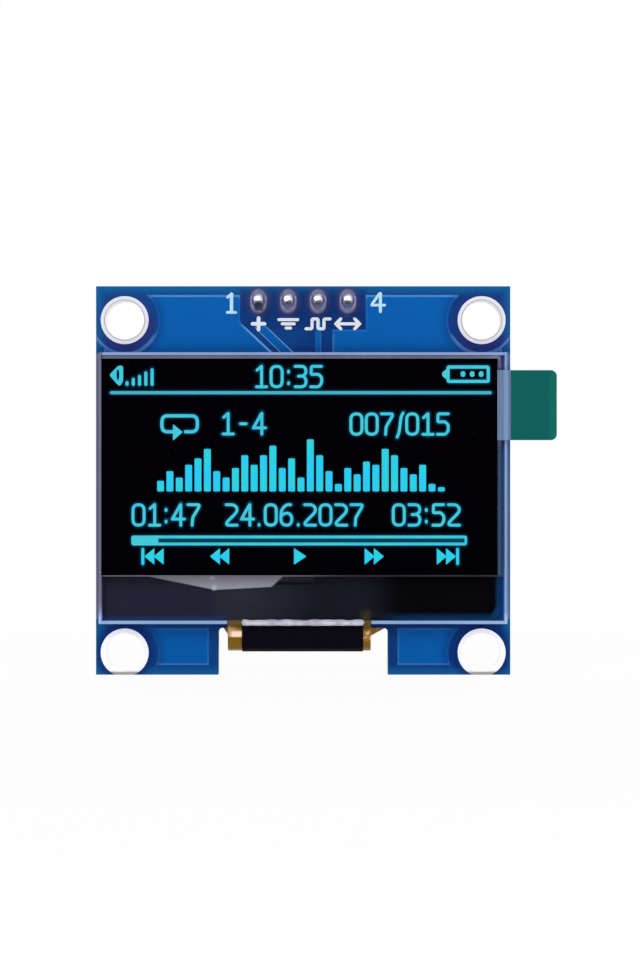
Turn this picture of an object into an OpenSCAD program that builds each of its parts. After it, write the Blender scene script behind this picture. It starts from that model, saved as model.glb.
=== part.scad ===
// Small graphic display module: a bottom-emission glass panel taped to the front of a
// notched circuit board, its flex tail folded through the notch and soldered behind,
// with a four-way pin header on the back.
// X runs across the screen, Y from front to back and Z up. The origin is the middle of
// the four mounting holes, on the board's front face.

/* [Board] */
// Width of the circuit board
board_w = 35.4; // [35:0.1:48]
// Height of the circuit board
board_h = 33.2; // [33:0.1:46]
// Thickness of the circuit board
board_t = 1.2; // [0.8:0.1:1.6]
// Finished bore of the mounting holes
hole_d = 3.3; // [2:0.1:3.6]
// Side edge to mounting hole centre
hole_side = 2.45; // [2.2:0.05:3]
// Top edge to upper hole centre
hole_top = 2.9; // [2.2:0.05:3.5]
// Bottom edge to lower hole centre
hole_foot = 1.9; // [1.9:0.05:2.6]
// Width of the bare ring of metal round a mounting hole
ring_w = 0.4; // [0.2:0.05:0.5]
// Wall of the plating inside every hole
plating_t = 0.05; // [0.03:0.01:0.08]
// Thickness of the metal on the board's faces
copper_t = 0.035; // [0.02:0.005:0.07]

/* [Notch] */
// Room at the notch's tighter side for the flex tail that passes through
notch_clear = 0.85; // [0.4:0.05:1.5]
// Depth of the notch from the bottom edge
notch_h = 4.0; // [3.4:0.1:4.6]
// Router radius in the notch's inner corners
notch_r = 0.4; // [0.2:0.1:1]

/* [Header] */
// Number of header positions
pin_count = 4; // [2:1:5]
// Distance from pin to pin
pin_pitch = 2.54; // [2:0.01:3.2]
// Width of a square pin
pin_w = 0.64; // [0.4:0.02:0.7]
// Pin length behind the plastic base
pin_reach = 6.0; // [3:0.5:9]
// Pin length that stands out in front of the board
pin_front = 1.25; // [0.8:0.05:1.6]
// Height of the taper on a pin's free end
pin_taper = 0.7; // [0.3:0.1:1.2]
// Depth of the plastic base
base_depth = 2.5; // [1.5:0.1:3.5]
// Top edge of the board to the row of pins
pin_drop = 1.27; // [1.25:0.01:2]
// Finished bore of a header hole
pin_bore = 1.0; // [0.9:0.05:1.15]
// Width of an oval header pad
pad_w = 1.5; // [1.3:0.05:1.8]
// Height of an oval header pad
pad_h = 2.2; // [1.8:0.05:2.3]

/* [Panel] */
// Width of the front glass
glass_w = 34.6; // [30:0.1:34.8]
// Height of the front glass
glass_h = 23.0; // [19:0.1:23.2]
// Thickness of the front glass
glass_t = 0.7; // [0.6:0.05:1.1]
// Chamfer ground round the edges of the front glass
glass_chamfer = 0.25; // [0.05:0.01:0.28]
// Height of the connector ledge below the cover glass
ledge_h = 4.0; // [3.6:0.1:5]
// Thickness of the cover glass behind the front glass
cover_t = 0.45; // [0.4:0.05:0.7]
// Inset of the cover glass from the front glass at the top and sides
cover_inset = 0.25; // [0.1:0.05:0.4]
// Width of the seal round the cover glass
seal_w = 0.6; // [0.3:0.05:0.65]
// Thickness of the seal
seal_t = 0.05; // [0.03:0.01:0.1]
// Thickness of the polariser
polariser_t = 0.2; // [0.1:0.02:0.3]
// Margin of the polariser at the top of the glass
polariser_top = 0.56; // [0.3:0.02:1]
// Margin of the polariser at its left
polariser_left = 0.28; // [0.2:0.02:1]
// Margin of the polariser at its right
polariser_right = 0.85; // [0.4:0.05:1.2]
// Thickness of the foam tape that holds the panel to the board
foam_t = 0.5; // [0.3:0.05:1]
// Gap between the glass's lower edge and the top of the notch
glass_above_notch = 0.45; // [0.3:0.05:0.8]

/* [Film] */
// Thickness of the clear protective film
film_t = 0.08; // [0.04:0.01:0.15]
// Width of the pull tab along the screen's edge
tab_w = 5.9; // [4:0.1:9]
// Length of the pull tab past the board
tab_reach = 3.7; // [2:0.1:8]
// Thickness of the pull tab
tab_t = 0.1; // [0.05:0.01:0.2]
// Top of the glass to the top of the pull tab
tab_drop = 1.55; // [1:0.05:4]

/* [Flex] */
// Width of the flex tail at its fold
neck_w = 12.15; // [9:0.05:12.5]
// How far the neck lies to the left of the middle
neck_shift = 0.32; // [0:0.02:0.5]
// Thickness of the flex tail
flex_t = 0.12; // [0.08:0.01:0.2]
// How far the fold hangs below the top of the notch
fold_drop = 1.95; // [1.8:0.05:2.2]
// Number of soldered contacts
lead_count = 30; // [20:1:30]
// Distance from contact to contact
lead_pitch = 0.62; // [0.5:0.02:0.7]
// How far the soldered row lies to the right of the middle
tail_shift = 1.2; // [0:0.1:1.5]
// Bare strip of flex tail to the left of the black tape
tape_left_gap = 1.2; // [0.2:0.05:2]
// Bare strip of flex tail to the right of the black tape
tape_right_gap = 0.65; // [0.2:0.05:2]
// Thickness of the black tape
tape_t = 0.08; // [0.05:0.01:0.15]

/* [Hidden] */
$fn = 48;

// Board and holes
hole_span_x = board_w - 2 * hole_side;
hole_span_z = board_h - hole_top - hole_foot;
board_top = hole_span_z / 2 + hole_top;
board_foot = -hole_span_z / 2 - hole_foot;
drill_r = hole_d / 2 + plating_t;
hole_spots = [
  [-hole_span_x / 2, hole_span_z / 2],
  [hole_span_x / 2, hole_span_z / 2],
  [-hole_span_x / 2, -hole_span_z / 2],
  [hole_span_x / 2, -hole_span_z / 2]
];
notch_w = neck_w + 2 * (neck_shift + notch_clear);
notch_top = board_foot + notch_h;

// Header
pin_z = board_top - pin_drop;
pin_drill_r = pin_bore / 2 + plating_t;
base_front = board_t + copper_t;
base_gap = 0.02;
base_chamfer = 0.4;
joint_neck = 0.45;

// Glass stack, from the board's front face towards the viewer
cover_back = -foam_t;
cover_front = cover_back - cover_t;
glass_back = cover_front - seal_t;
glass_front = glass_back - glass_t;
polariser_front = glass_front - polariser_t;
film_front = polariser_front - film_t;

// Outlines of the panel's layers: left, right, foot and top
glass_left = -glass_w / 2;
glass_right = glass_w / 2;
glass_foot = notch_top + glass_above_notch;
glass_top = glass_foot + glass_h;
cover_foot = glass_foot + ledge_h;
seal_gap = 0.15;
pol_overhang = 0.15;
glass_box = [glass_left, glass_right, glass_foot, glass_top];
cover_box = [glass_left + cover_inset, glass_right - cover_inset, cover_foot, glass_top - cover_inset];
polariser_box = [
  glass_left + polariser_left,
  glass_right - polariser_right,
  cover_foot + pol_overhang,
  glass_top - polariser_top
];
film_box = inset(polariser_box, 0.05);
emitter_box = [
  max(polariser_box[0], cover_box[0] + seal_w) + seal_gap,
  min(polariser_box[1], cover_box[1] - seal_w) - seal_gap,
  cover_foot + seal_w + seal_gap / 2,
  min(polariser_box[3], cover_box[3] - seal_w) - seal_gap
];
recess_box = inset(cover_box, seal_w);
recess_h = 0.2;
cover_chamfer = 0.08;
emitter_t = 0.03;
desiccant_t = 0.1;
foam_box = inset(cover_box, 0.8);

// Ledge
coat_t = 0.03;
coat_box = [glass_left + 0.25, glass_right - 0.7, glass_foot + 0.3, cover_foot - 0.1];
coat_back = glass_back + coat_t;
chip_size = [7.0, 0.3, 1.0];

// Pull tab: the film's tongue runs under it
tab_top = glass_top - tab_drop;
tab_foot = tab_top - tab_w;
tab_left = max(board_w / 2, glass_right) - 0.15;
tab_right = board_w / 2 + tab_reach;
tongue_lap = 1.0;
tab_r = 0.5;

// Flex tail: a leg behind the ledge, a half-round fold and a leg behind the board
fold_front = coat_back;
fold_back = board_t + flex_t;
fold_r = (fold_back - fold_front) / 2;
fold_y = (fold_back + fold_front) / 2;
fold_z = notch_top - fold_drop + fold_r;
neck_left = -neck_shift - neck_w / 2;
neck_right = -neck_shift + neck_w / 2;
tape_left = neck_left + tape_left_gap;
tape_right = neck_right - tape_right_gap;
bond_top = glass_foot + 1.35;
lead_w = lead_pitch / 2;
lead_row = (lead_count - 1) * lead_pitch;
tail_left = tail_shift - lead_row / 2 - lead_w;
tail_right = tail_shift + lead_row / 2 + lead_w;
flare_top = notch_top + 1.75;
tail_top = flare_top + 3.75;
tape_top = glass_foot - 0.1;
tape_back_top = notch_top + 1.5;
lead_pad_l = 0.9;
lead_lap = 1.1;

// Small parts on the back, laid out between the flex tail and the header
parts_z = (tail_top + pin_z - base_depth / 2) / 2;
chip_l = 1.6;
chip_w = 0.8;
capacitor_h = 0.8;
resistor_h = 0.45;
cap_end_l = 0.32;
cap_end_lip = 0.02;
fillet_r = 0.32;
// Each spot is X, Z from the layout's middle, and the turn about Y
capacitor_spots = [
  [-13.6, 4.9, 90],
  [-4.9, 4.9, 90],
  [-13.6, -3.4, 90],
  [-11.4, -3.4, 90],
  [3.4, -5.2, 0],
  [6.6, -5.2, 0]
];
resistor_spots = [
  [-1.6, 4.6, 0],
  [-1.6, 2.8, 0],
  [4.2, 4.6, 90],
  [6.2, 4.6, 90],
  [10.6, 4.4, 0],
  [-5.6, -5.2, 0],
  [-1.2, -5.2, 0]
];
regulator_spot = [-9.2, 4.7];
diode_spot = [11.0, -1.2];
regulator_size = [2.9, 1.3, 1.1];
diode_size = [1.7, 1.25, 0.9];

// A box given as left, right, foot and top, made smaller all round
function inset(box, by) = [box[0] + by, box[1] - by, box[2] + by, box[3] - by];

// An outline in X and Z, made a plate from y = front to y = front + depth
module plate(front, depth) {
  translate([0, front + depth, 0])
    rotate([90, 0, 0])
      linear_extrude(depth)
        children();
}

// The outline of a box given as left, right, foot and top
module box_outline(box) {
  translate([box[0], box[2]])
    square([box[1] - box[0], box[3] - box[2]]);
}

// A shape made upright round Z, laid along Y from y = front at X and Z
module along_y(x, front, z) {
  translate([x, front, z])
    rotate([-90, 0, 0])
      children();
}

// A slot's outline, taller than it is wide
module oval(w, h) {
  for (side = [-1, 1])
    translate([0, side * (h - w) / 2])
      circle(d = w);
  square([w, h - w], center = true);
}

module notch_outline() {
  half = notch_w / 2;
  translate([-half, board_foot - 1])
    square([notch_w, notch_h + 1 - notch_r]);
  translate([-half + notch_r, board_foot - 1])
    square([notch_w - 2 * notch_r, notch_h + 1]);
  for (side = [-1, 1])
    translate([side * (half - notch_r), notch_top - notch_r])
      circle(r = notch_r);
}

module board_outline() {
  translate([-board_w / 2, board_foot])
    square([board_w, board_h]);
}

function pin_x(i) = (i - (pin_count - 1) / 2) * pin_pitch;

module circuit_board() {
  color([0.02, 0.29, 0.6])
    difference() {
      plate(0, board_t)
        difference() {
          board_outline();
          notch_outline();
        }
      for (spot = hole_spots)
        along_y(spot[0], -1, spot[1])
          cylinder(r = drill_r, h = board_t + 2);
      for (i = [0 : pin_count - 1])
        along_y(pin_x(i), -1, pin_z)
          cylinder(r = pin_drill_r, h = board_t + 2);
    }
}

// Plated hole: a barrel with a bare ring on each face, cut off where the board ends
module hole_ring(spot) {
  ring_r = hole_d / 2 + ring_w;
  color([0.87, 0.88, 0.9])
    intersection() {
      along_y(spot[0], -copper_t, spot[1])
        difference() {
          union() {
            cylinder(r = drill_r, h = board_t + 2 * copper_t);
            cylinder(r = ring_r, h = copper_t);
            translate([0, 0, board_t + copper_t])
              cylinder(r = ring_r, h = copper_t);
          }
          translate([0, 0, -1])
            cylinder(d = hole_d, h = board_t + 3);
        }
      plate(-1, board_t + 2)
        board_outline();
    }
}

// Plated header holes: a barrel and two oval pads each
module header_pads() {
  color([0.8, 0.8, 0.82])
    for (i = [0 : pin_count - 1])
      difference() {
        union() {
          along_y(pin_x(i), 0, pin_z)
            cylinder(r = pin_drill_r, h = board_t);
          for (front = [-copper_t, board_t])
            translate([pin_x(i), 0, pin_z])
              plate(front, copper_t)
                oval(pad_w, pad_h);
        }
        along_y(pin_x(i), -1, pin_z)
          cylinder(d = pin_bore, h = board_t + 2);
      }
}

// Square hole or pin, pin_w + 2 * gap wide
module square_bar(i, front, back, gap) {
  w = pin_w + 2 * gap;
  translate([pin_x(i) - w / 2, front, pin_z - w / 2])
    cube([w, back - front, w]);
}

// Plastic base: one eight-sided cell for each pin, joined side to side
module header_base() {
  cut = base_chamfer;
  half_w = pin_pitch / 2;
  half_d = base_depth / 2;
  color([0.06, 0.06, 0.07])
    difference() {
      plate(base_front, pin_pitch)
        for (i = [0 : pin_count - 1])
          translate([pin_x(i), pin_z])
            polygon([
              [-half_w, half_d - cut],
              [-half_w + cut, half_d],
              [half_w - cut, half_d],
              [half_w, half_d - cut],
              [half_w, cut - half_d],
              [half_w - cut, -half_d],
              [cut - half_w, -half_d],
              [-half_w, cut - half_d]
            ]);
      for (i = [0 : pin_count - 1])
        square_bar(i, 0, base_front + pin_pitch + 1, base_gap);
    }
}

// Side outline of a pin: a bar with a taper at each end
module pin_outline(back) {
  half = pin_w / 2;
  tip = half * 0.4;
  stub_taper = pin_taper / 3;
  polygon([
    [-pin_front, -tip],
    [-pin_front + stub_taper, -half],
    [back - pin_taper, -half],
    [back, -tip],
    [back, tip],
    [back - pin_taper, half],
    [-pin_front + stub_taper, half],
    [-pin_front, tip]
  ]);
}

module header_pin(i) {
  back = base_front + pin_pitch + pin_reach;
  color([0.78, 0.7, 0.45])
    translate([pin_x(i), 0, pin_z])
      intersection() {
        rotate([0, 0, 90])
          translate([0, pin_w, 0])
            rotate([90, 0, 0])
              linear_extrude(2 * pin_w)
                pin_outline(back);
        translate([0, 0, -pin_w])
          linear_extrude(2 * pin_w)
            rotate(90)
              pin_outline(back);
      }
}

// Solder: a hollow-sided cone over the front end of a pin, a low mound over the oval
// pad and a plug that fills the plated hole
module solder_joint(i) {
  mound_t = 0.08;
  pad_front = copper_t + mound_t;
  swell = pad_w / 2 - joint_neck;
  tip_y = pin_front + 0.2;
  color([0.72, 0.73, 0.76])
    difference() {
      union() {
        translate([pin_x(i), 0, pin_z])
          plate(-pad_front, mound_t)
            oval(pad_w, pad_h);
        translate([pin_x(i), -pad_front, pin_z])
          rotate([90, 0, 0])
            rotate_extrude()
              intersection() {
                union() {
                  difference() {
                    square([pad_w / 2, swell]);
                    translate([pad_w / 2, swell])
                      circle(r = swell);
                  }
                  square([joint_neck, tip_y - pad_front - joint_neck]);
                  translate([0, tip_y - pad_front - joint_neck])
                    circle(r = joint_neck);
                }
                square([pad_w, tip_y]);
              }
        along_y(pin_x(i), -pad_front, pin_z)
          cylinder(d = pin_bore, h = board_t + pad_front);
      }
      header_pin(i);
    }
}

// Rectangle from a low to a high corner, with its corners cut off
module cut_rectangle(low, high, cut) {
  polygon([
    [low[0] + cut, low[1]],
    [high[0] - cut, low[1]],
    [high[0], low[1] + cut],
    [high[0], high[1] - cut],
    [high[0] - cut, high[1]],
    [low[0] + cut, high[1]],
    [low[0], high[1] - cut],
    [low[0], low[1] + cut]
  ]);
}

// Pane with the edges of both faces chamfered: one outline seen from above, cut by one
// seen from the side
module pane(box, front, depth, cut) {
  intersection() {
    translate([0, 0, box[2]])
      linear_extrude(box[3] - box[2])
        cut_rectangle([box[0], front], [box[1], front + depth], cut);
    translate([box[0], 0, 0])
      rotate([90, 0, 90])
        linear_extrude(box[1] - box[0])
          cut_rectangle([front, box[2]], [front + depth, box[3]], cut);
  }
}

module front_glass() {
  color([0.55, 0.66, 0.75, 0.5])
    pane(glass_box, glass_front, glass_t, glass_chamfer);
}

// Cover glass, hollowed on its inner face inside the seal
module cover_glass() {
  color([0.5, 0.6, 0.68, 0.6])
    difference() {
      pane(cover_box, cover_front, cover_t, cover_chamfer);
      plate(cover_front - 1, recess_h + 1)
        box_outline(recess_box);
    }
}

module seal_frame() {
  color([0.8, 0.78, 0.7])
    plate(glass_back, seal_t)
      difference() {
        box_outline(cover_box);
        box_outline(recess_box);
      }
}

module emitter_layer() {
  color([0.1, 0.1, 0.14])
    plate(glass_back, emitter_t)
      box_outline(emitter_box);
}

module desiccant_sheet() {
  color([0.9, 0.9, 0.88])
    plate(cover_front + recess_h - desiccant_t, desiccant_t)
      box_outline(inset(recess_box, 0.5));
}

module polariser() {
  color([0.01, 0.01, 0.02])
    plate(polariser_front, polariser_t)
      box_outline(polariser_box);
}

// Clear film with a tongue that carries the pull tab
module protective_film() {
  color([0.8, 0.87, 0.92, 0.3])
    plate(film_front, film_t) {
      box_outline(film_box);
      translate([film_box[1] - 1, tab_foot])
        square([tab_left + tongue_lap - film_box[1] + 1, tab_w]);
    }
}

module pull_tab() {
  color([0.08, 0.4, 0.37])
    plate(film_front - tab_t, tab_t) {
      translate([tab_left, tab_foot])
        square([tab_right - tab_left - tab_r, tab_w]);
      translate([tab_left, tab_foot + tab_r])
        square([tab_right - tab_left, tab_w - 2 * tab_r]);
      for (z = [tab_foot + tab_r, tab_top - tab_r])
        translate([tab_right - tab_r, z])
          circle(r = tab_r);
    }
}

module ledge_coat() {
  color([0.09, 0.09, 0.13])
    plate(glass_back, coat_t)
      box_outline(coat_box);
}

module driver_chip() {
  color([0.3, 0.31, 0.33])
    translate([-neck_shift - chip_size[0] / 2, coat_back, (bond_top + coat_box[3] - chip_size[2]) / 2])
      cube(chip_size);
}

module mounting_tape() {
  color([0.9, 0.9, 0.88])
    plate(cover_back, foam_t)
      box_outline(foam_box);
}

// Half-round strip that the fold's layers share, from inner radius r to r + t
module fold_strip(left, right, r, t) {
  translate([left, fold_y, fold_z])
    rotate([90, 0, 90])
      linear_extrude(right - left)
        difference() {
          circle(r = r + t);
          circle(r = r);
          translate([-2 * (r + t), 0])
            square(4 * (r + t));
        }
}

module flex_tail() {
  color([0.55, 0.42, 0.1]) {
    plate(fold_front, flex_t)
      box_outline([neck_left, neck_right, fold_z, bond_top]);
    fold_strip(neck_left, neck_right, fold_r - flex_t, flex_t);
    plate(board_t, flex_t)
      polygon([
        [neck_left, fold_z],
        [tail_left, flare_top],
        [tail_left, tail_top],
        [tail_right, tail_top],
        [tail_right, flare_top],
        [neck_right, fold_z]
      ]);
  }
}

module bend_tape() {
  color([0.05, 0.05, 0.08]) {
    plate(fold_front - tape_t, tape_t)
      box_outline([tape_left, tape_right, fold_z, tape_top]);
    fold_strip(tape_left, tape_right, fold_r, tape_t);
    plate(fold_back, tape_t)
      box_outline([tape_left, tape_right, fold_z, tape_back_top]);
  }
}

function lead_x(i) = tail_shift + i * lead_pitch - lead_row / 2;

// Row of board pads just past the flex tail's end
module flex_pads() {
  color([0.85, 0.83, 0.75])
    plate(board_t, copper_t)
      for (i = [0 : lead_count - 1])
        translate([lead_x(i) - lead_w / 2, tail_top])
          square([lead_w, lead_pad_l]);
}

// Solder over each contact: it lies on the flex tail and runs down to the board's pad
module flex_solder() {
  top = fold_back + 0.12;
  color([0.75, 0.76, 0.78])
    for (i = [0 : lead_count - 1])
      translate([lead_x(i) - lead_w / 2, 0, tail_top])
        rotate([90, 0, 90])
          linear_extrude(lead_w)
            polygon([
              [fold_back, -lead_lap],
              [top, -lead_lap + 0.25],
              [top, 0.1],
              [board_t + copper_t + 0.06, lead_pad_l - 0.1],
              [board_t + copper_t, lead_pad_l - 0.1],
              [board_t + copper_t, 0],
              [fold_back, 0]
            ]);
}

// A place on the board's back: X runs on, Z is the height off the board
module on_back(spot, turn) {
  translate([spot[0], board_t, parts_z + spot[1]])
    rotate([0, turn, 0])
      rotate([-90, 0, 0])
        children();
}

// Ceramic capacitor: a block with a slightly thicker metal cap on each end
module capacitor(spot) {
  color([0.72, 0.6, 0.45])
    on_back(spot, spot[2]) {
      translate([-chip_l / 2, -chip_w / 2 + cap_end_lip, cap_end_lip])
        cube([chip_l, chip_w - 2 * cap_end_lip, capacitor_h - 2 * cap_end_lip]);
      for (side = [0, 1])
        mirror([side, 0, 0])
          translate([-chip_l / 2, -chip_w / 2, 0])
            cube([cap_end_l, chip_w, capacitor_h]);
    }
}

// Chip resistor: a flat block with a raised film between its two end caps
module resistor(spot) {
  film_l = chip_l - 2 * cap_end_l;
  color([0.08, 0.08, 0.09])
    on_back(spot, spot[2]) {
      translate([-chip_l / 2, -chip_w / 2, 0])
        cube([chip_l, chip_w, resistor_h - cap_end_lip]);
      translate([-film_l / 2, -chip_w / 2 + cap_end_lip, 0])
        cube([film_l, chip_w - 2 * cap_end_lip, resistor_h]);
    }
}

// Hollow-faced solder wedge at each end of a chip
module chip_fillets(spot, height) {
  r = min(fillet_r, height * 0.8);
  on_back(spot, spot[2])
    for (side = [0, 1])
      mirror([side, 0, 0])
        translate([chip_l / 2, chip_w / 2, 0])
          rotate([90, 0, 0])
            linear_extrude(chip_w)
              difference() {
                square(r);
                translate([r, r])
                  circle(r = r * 0.95);
              }
}

module chip_solder() {
  color([0.78, 0.79, 0.81]) {
    for (spot = capacitor_spots)
      chip_fillets(spot, capacitor_h);
    for (spot = resistor_spots)
      chip_fillets(spot, resistor_h);
  }
}

// Moulded body, widest at its parting line, standing clear of the board
module moulded_body(spot, size) {
  stand = 0.08;
  draft = 0.1;
  mid = stand + (size[2] - stand) / 2;
  on_back(spot, 0)
    intersection() {
      rotate([90, 0, 0])
        linear_extrude(2 * size[1], center = true)
          body_outline(size[0], size[2], stand, mid, draft);
      rotate([90, 0, 90])
        linear_extrude(2 * size[0], center = true)
          body_outline(size[1], size[2], stand, mid, draft);
    }
}

module body_outline(w, h, stand, mid, draft) {
  polygon([
    [-w / 2 + draft, stand],
    [w / 2 - draft, stand],
    [w / 2, mid],
    [w / 2 - draft, h],
    [-w / 2 + draft, h],
    [-w / 2, mid]
  ]);
}

// Gull-wing lead: a foot on the board, a riser and a shoulder that meets the body
module gull_lead(reach, foot, mid, w) {
  t = 0.12;
  rotate([90, 0, 90])
    linear_extrude(w, center = true)
      polygon([
        [0, mid - t / 2],
        [reach - foot, mid - t / 2],
        [reach - foot + t / 2, 0],
        [reach, 0],
        [reach, t],
        [reach - foot + t * 1.5, t],
        [reach - foot + t, mid + t / 2],
        [0, mid + t / 2]
      ]);
}

module regulator_body() {
  color([0.07, 0.07, 0.08])
    moulded_body(regulator_spot, regulator_size);
}

module regulator_leads() {
  mid = 0.08 + (regulator_size[2] - 0.08) / 2;
  color([0.8, 0.8, 0.82])
    on_back(regulator_spot, 0) {
      for (x = [-0.95, 0.95])
        translate([x, regulator_size[1] / 2, 0])
          gull_lead(0.6, 0.35, mid, 0.4);
      mirror([0, 1, 0])
        translate([0, regulator_size[1] / 2, 0])
          gull_lead(0.6, 0.35, mid, 0.4);
    }
}

module diode_body() {
  color([0.07, 0.07, 0.08])
    moulded_body(diode_spot, diode_size);
}

module diode_leads() {
  mid = 0.08 + (diode_size[2] - 0.08) / 2;
  color([0.8, 0.8, 0.82])
    on_back(diode_spot, 0)
      for (turn = [-90, 90])
        rotate([0, 0, turn])
          translate([0, diode_size[0] / 2, 0])
            gull_lead(0.45, 0.25, mid, 0.3);
}

circuit_board();
for (i = [1 : 4])
  hole_ring(hole_spots[i - 1]);
header_pads();
header_base();
for (i = [1 : pin_count]) {
  header_pin(i - 1);
  solder_joint(i - 1);
}
front_glass();
cover_glass();
seal_frame();
emitter_layer();
desiccant_sheet();
polariser();
protective_film();
pull_tab();
ledge_coat();
driver_chip();
mounting_tape();
flex_tail();
bend_tape();
flex_pads();
flex_solder();
regulator_body();
regulator_leads();
diode_body();
diode_leads();
for (i = [1 : len(capacitor_spots)])
  capacitor(capacitor_spots[i - 1]);
for (i = [1 : len(resistor_spots)])
  resistor(resistor_spots[i - 1]);
chip_solder();
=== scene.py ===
import math

import bmesh
import bpy
import numpy as np
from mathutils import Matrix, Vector
from mathutils.geometry import tessellate_polygon


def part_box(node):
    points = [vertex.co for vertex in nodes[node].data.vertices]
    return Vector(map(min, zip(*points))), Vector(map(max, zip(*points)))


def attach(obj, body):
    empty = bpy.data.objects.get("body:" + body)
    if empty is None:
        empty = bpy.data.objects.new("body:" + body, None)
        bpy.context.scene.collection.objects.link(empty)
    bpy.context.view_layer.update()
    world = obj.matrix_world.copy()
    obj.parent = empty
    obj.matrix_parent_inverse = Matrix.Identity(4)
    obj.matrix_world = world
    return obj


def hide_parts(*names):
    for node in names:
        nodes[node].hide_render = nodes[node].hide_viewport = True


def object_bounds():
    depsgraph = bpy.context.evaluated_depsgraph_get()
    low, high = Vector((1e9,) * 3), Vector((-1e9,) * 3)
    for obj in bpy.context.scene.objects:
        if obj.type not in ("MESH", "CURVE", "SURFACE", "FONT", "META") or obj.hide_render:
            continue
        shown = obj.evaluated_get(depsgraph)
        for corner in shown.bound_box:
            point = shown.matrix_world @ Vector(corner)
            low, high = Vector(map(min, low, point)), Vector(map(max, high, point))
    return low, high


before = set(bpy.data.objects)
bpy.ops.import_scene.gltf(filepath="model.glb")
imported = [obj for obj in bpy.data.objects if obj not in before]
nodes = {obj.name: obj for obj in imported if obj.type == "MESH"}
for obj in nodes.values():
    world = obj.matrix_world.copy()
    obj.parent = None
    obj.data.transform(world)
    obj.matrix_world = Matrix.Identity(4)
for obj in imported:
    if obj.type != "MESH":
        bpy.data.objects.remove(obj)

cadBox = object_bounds()
print("frame loaded with", len(nodes), "nodes")


def nodeBox(name):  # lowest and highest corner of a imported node, in millimetres
    low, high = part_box(name)
    return np.array(low) * 1000, np.array(high) * 1000


def nodeMiddle(name):
    return sum(nodeBox(name)) / 2


boardLow, boardHigh = nodeBox("circuit_board")
glassLow, glassHigh = nodeBox("front_glass")
screenLow, screenHigh = nodeBox("polariser")
tapeLow, tapeHigh = nodeBox("bend_tape")
filmLow, filmHigh = nodeBox("protective_film")
tabLow, tabHigh = nodeBox("pull_tab")
holeSide, holeTop = abs(nodeMiddle("hole_ring_1")[0]), nodeMiddle("hole_ring_1")[2]
pinSpots = [nodeMiddle(f"header_pin_{i}") for i in range(1, 5)]
pinRow, pinPitch = pinSpots[0][2], 2.54
front, back = boardLow[1], boardHigh[1]


# mesh helpers: all lengths are in millimetres, flat paths lie in X and Z

def gridFaces(rows, columns, closed=False):
    # quads of a grid of points laid out row by row: each row is joined round, and when closed so are the rows
    r = np.arange(rows if closed else rows - 1)[:, None]
    c = np.arange(columns)[None, :]
    nextR, nextC = (r + 1) % rows, (c + 1) % columns
    corners = [r * columns + c, r * columns + nextC, nextR * columns + nextC, nextR * columns + c]
    return np.stack(np.broadcast_arrays(*corners), -1).reshape(-1, 4)


def joined(parts, step):  # several (points, faces, strength) as one, each a step nearer the viewer
    points, faces, strength, count = [], [], [], 0
    for i, (partPoints, partFaces, *rest) in enumerate(parts):
        points.append(np.asarray(partPoints, float).reshape(-1, 3) - (0, step * i, 0))
        faces += [tuple(int(i) + count for i in face) for face in partFaces]
        strength.append(rest[0] if rest else np.ones(len(points[-1])))
        count += len(points[-1])
    return np.concatenate(points), faces, np.concatenate(strength)


def placed(name, data):  # a new object in the scene
    made = bpy.data.objects.new(name, data)
    bpy.context.scene.collection.objects.link(made)
    return made


def meshOf(name, points, faces, material):
    mesh = bpy.data.meshes.new(name)
    mesh.from_pydata((np.asarray(points) / 1000).tolist(), [], faces)
    mesh.materials.append(material)
    return mesh


def makePiece(name, parts, material, smooth=False, step=0.0):
    points, faces, strength = joined(parts, step)
    mesh = meshOf(name, points, faces, material)
    if strength.min() < 1:
        mesh.attributes.new("strength", "FLOAT", "POINT").data.foreach_set("value", strength)
    shape = bmesh.new()
    shape.from_mesh(mesh)
    bmesh.ops.remove_doubles(shape, verts=shape.verts, dist=2e-7)
    bmesh.ops.recalc_face_normals(shape, faces=shape.faces)
    shape.to_mesh(mesh)
    shape.free()
    mesh.polygons.foreach_set("use_smooth", [smooth] * len(mesh.polygons))
    piece = placed(name, mesh)
    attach(piece, "root")
    return piece


def corners(left, right, foot, top):
    return [(left, foot), (right, foot), (right, top), (left, top)]


def rounded(path, radius, closed=False, steps=5):
    # each corner becomes a parabola: it starts and ends at most a radius away along the corner's sides
    path = np.array(path, float)
    if len(path) < 3:
        return path
    before, after = np.roll(path, 1, 0) - path, np.roll(path, -1, 0) - path
    reach = [np.minimum(radius, np.linalg.norm(side, axis=1) / 2) for side in (before, after)]
    first, last = (path + side * (r / np.linalg.norm(side, axis=1))[:, None]
                   for side, r in zip((before, after), reach))
    t = np.linspace(0, 1, steps)[None, :, None]
    bends = (1 - t) ** 2 * first[:, None] + 2 * t * (1 - t) * path[:, None] + t ** 2 * last[:, None]
    if closed:
        return bends.reshape(-1, 2)
    return np.concatenate([path[:1], bends[1:-1].reshape(-1, 2), path[-1:]])


def fullTurn(count):  # angles round a circle
    return np.linspace(0, 2 * math.pi, count, endpoint=False)


def arc(centre, radius, start, end, count):  # points on a circle, angles in degrees
    turn = np.radians(np.linspace(start, end, count))
    return np.stack([centre[0] + radius * np.cos(turn), centre[1] + radius * np.sin(turn)], 1)


bandProfile = ((-1, -0.8, 0.8, 1), (0, 1, 1, 0))
hazeProfile = ((-1, -0.5, 0, 0.5, 1), (0.5, 1, 1, 1, 0.5))


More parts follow.
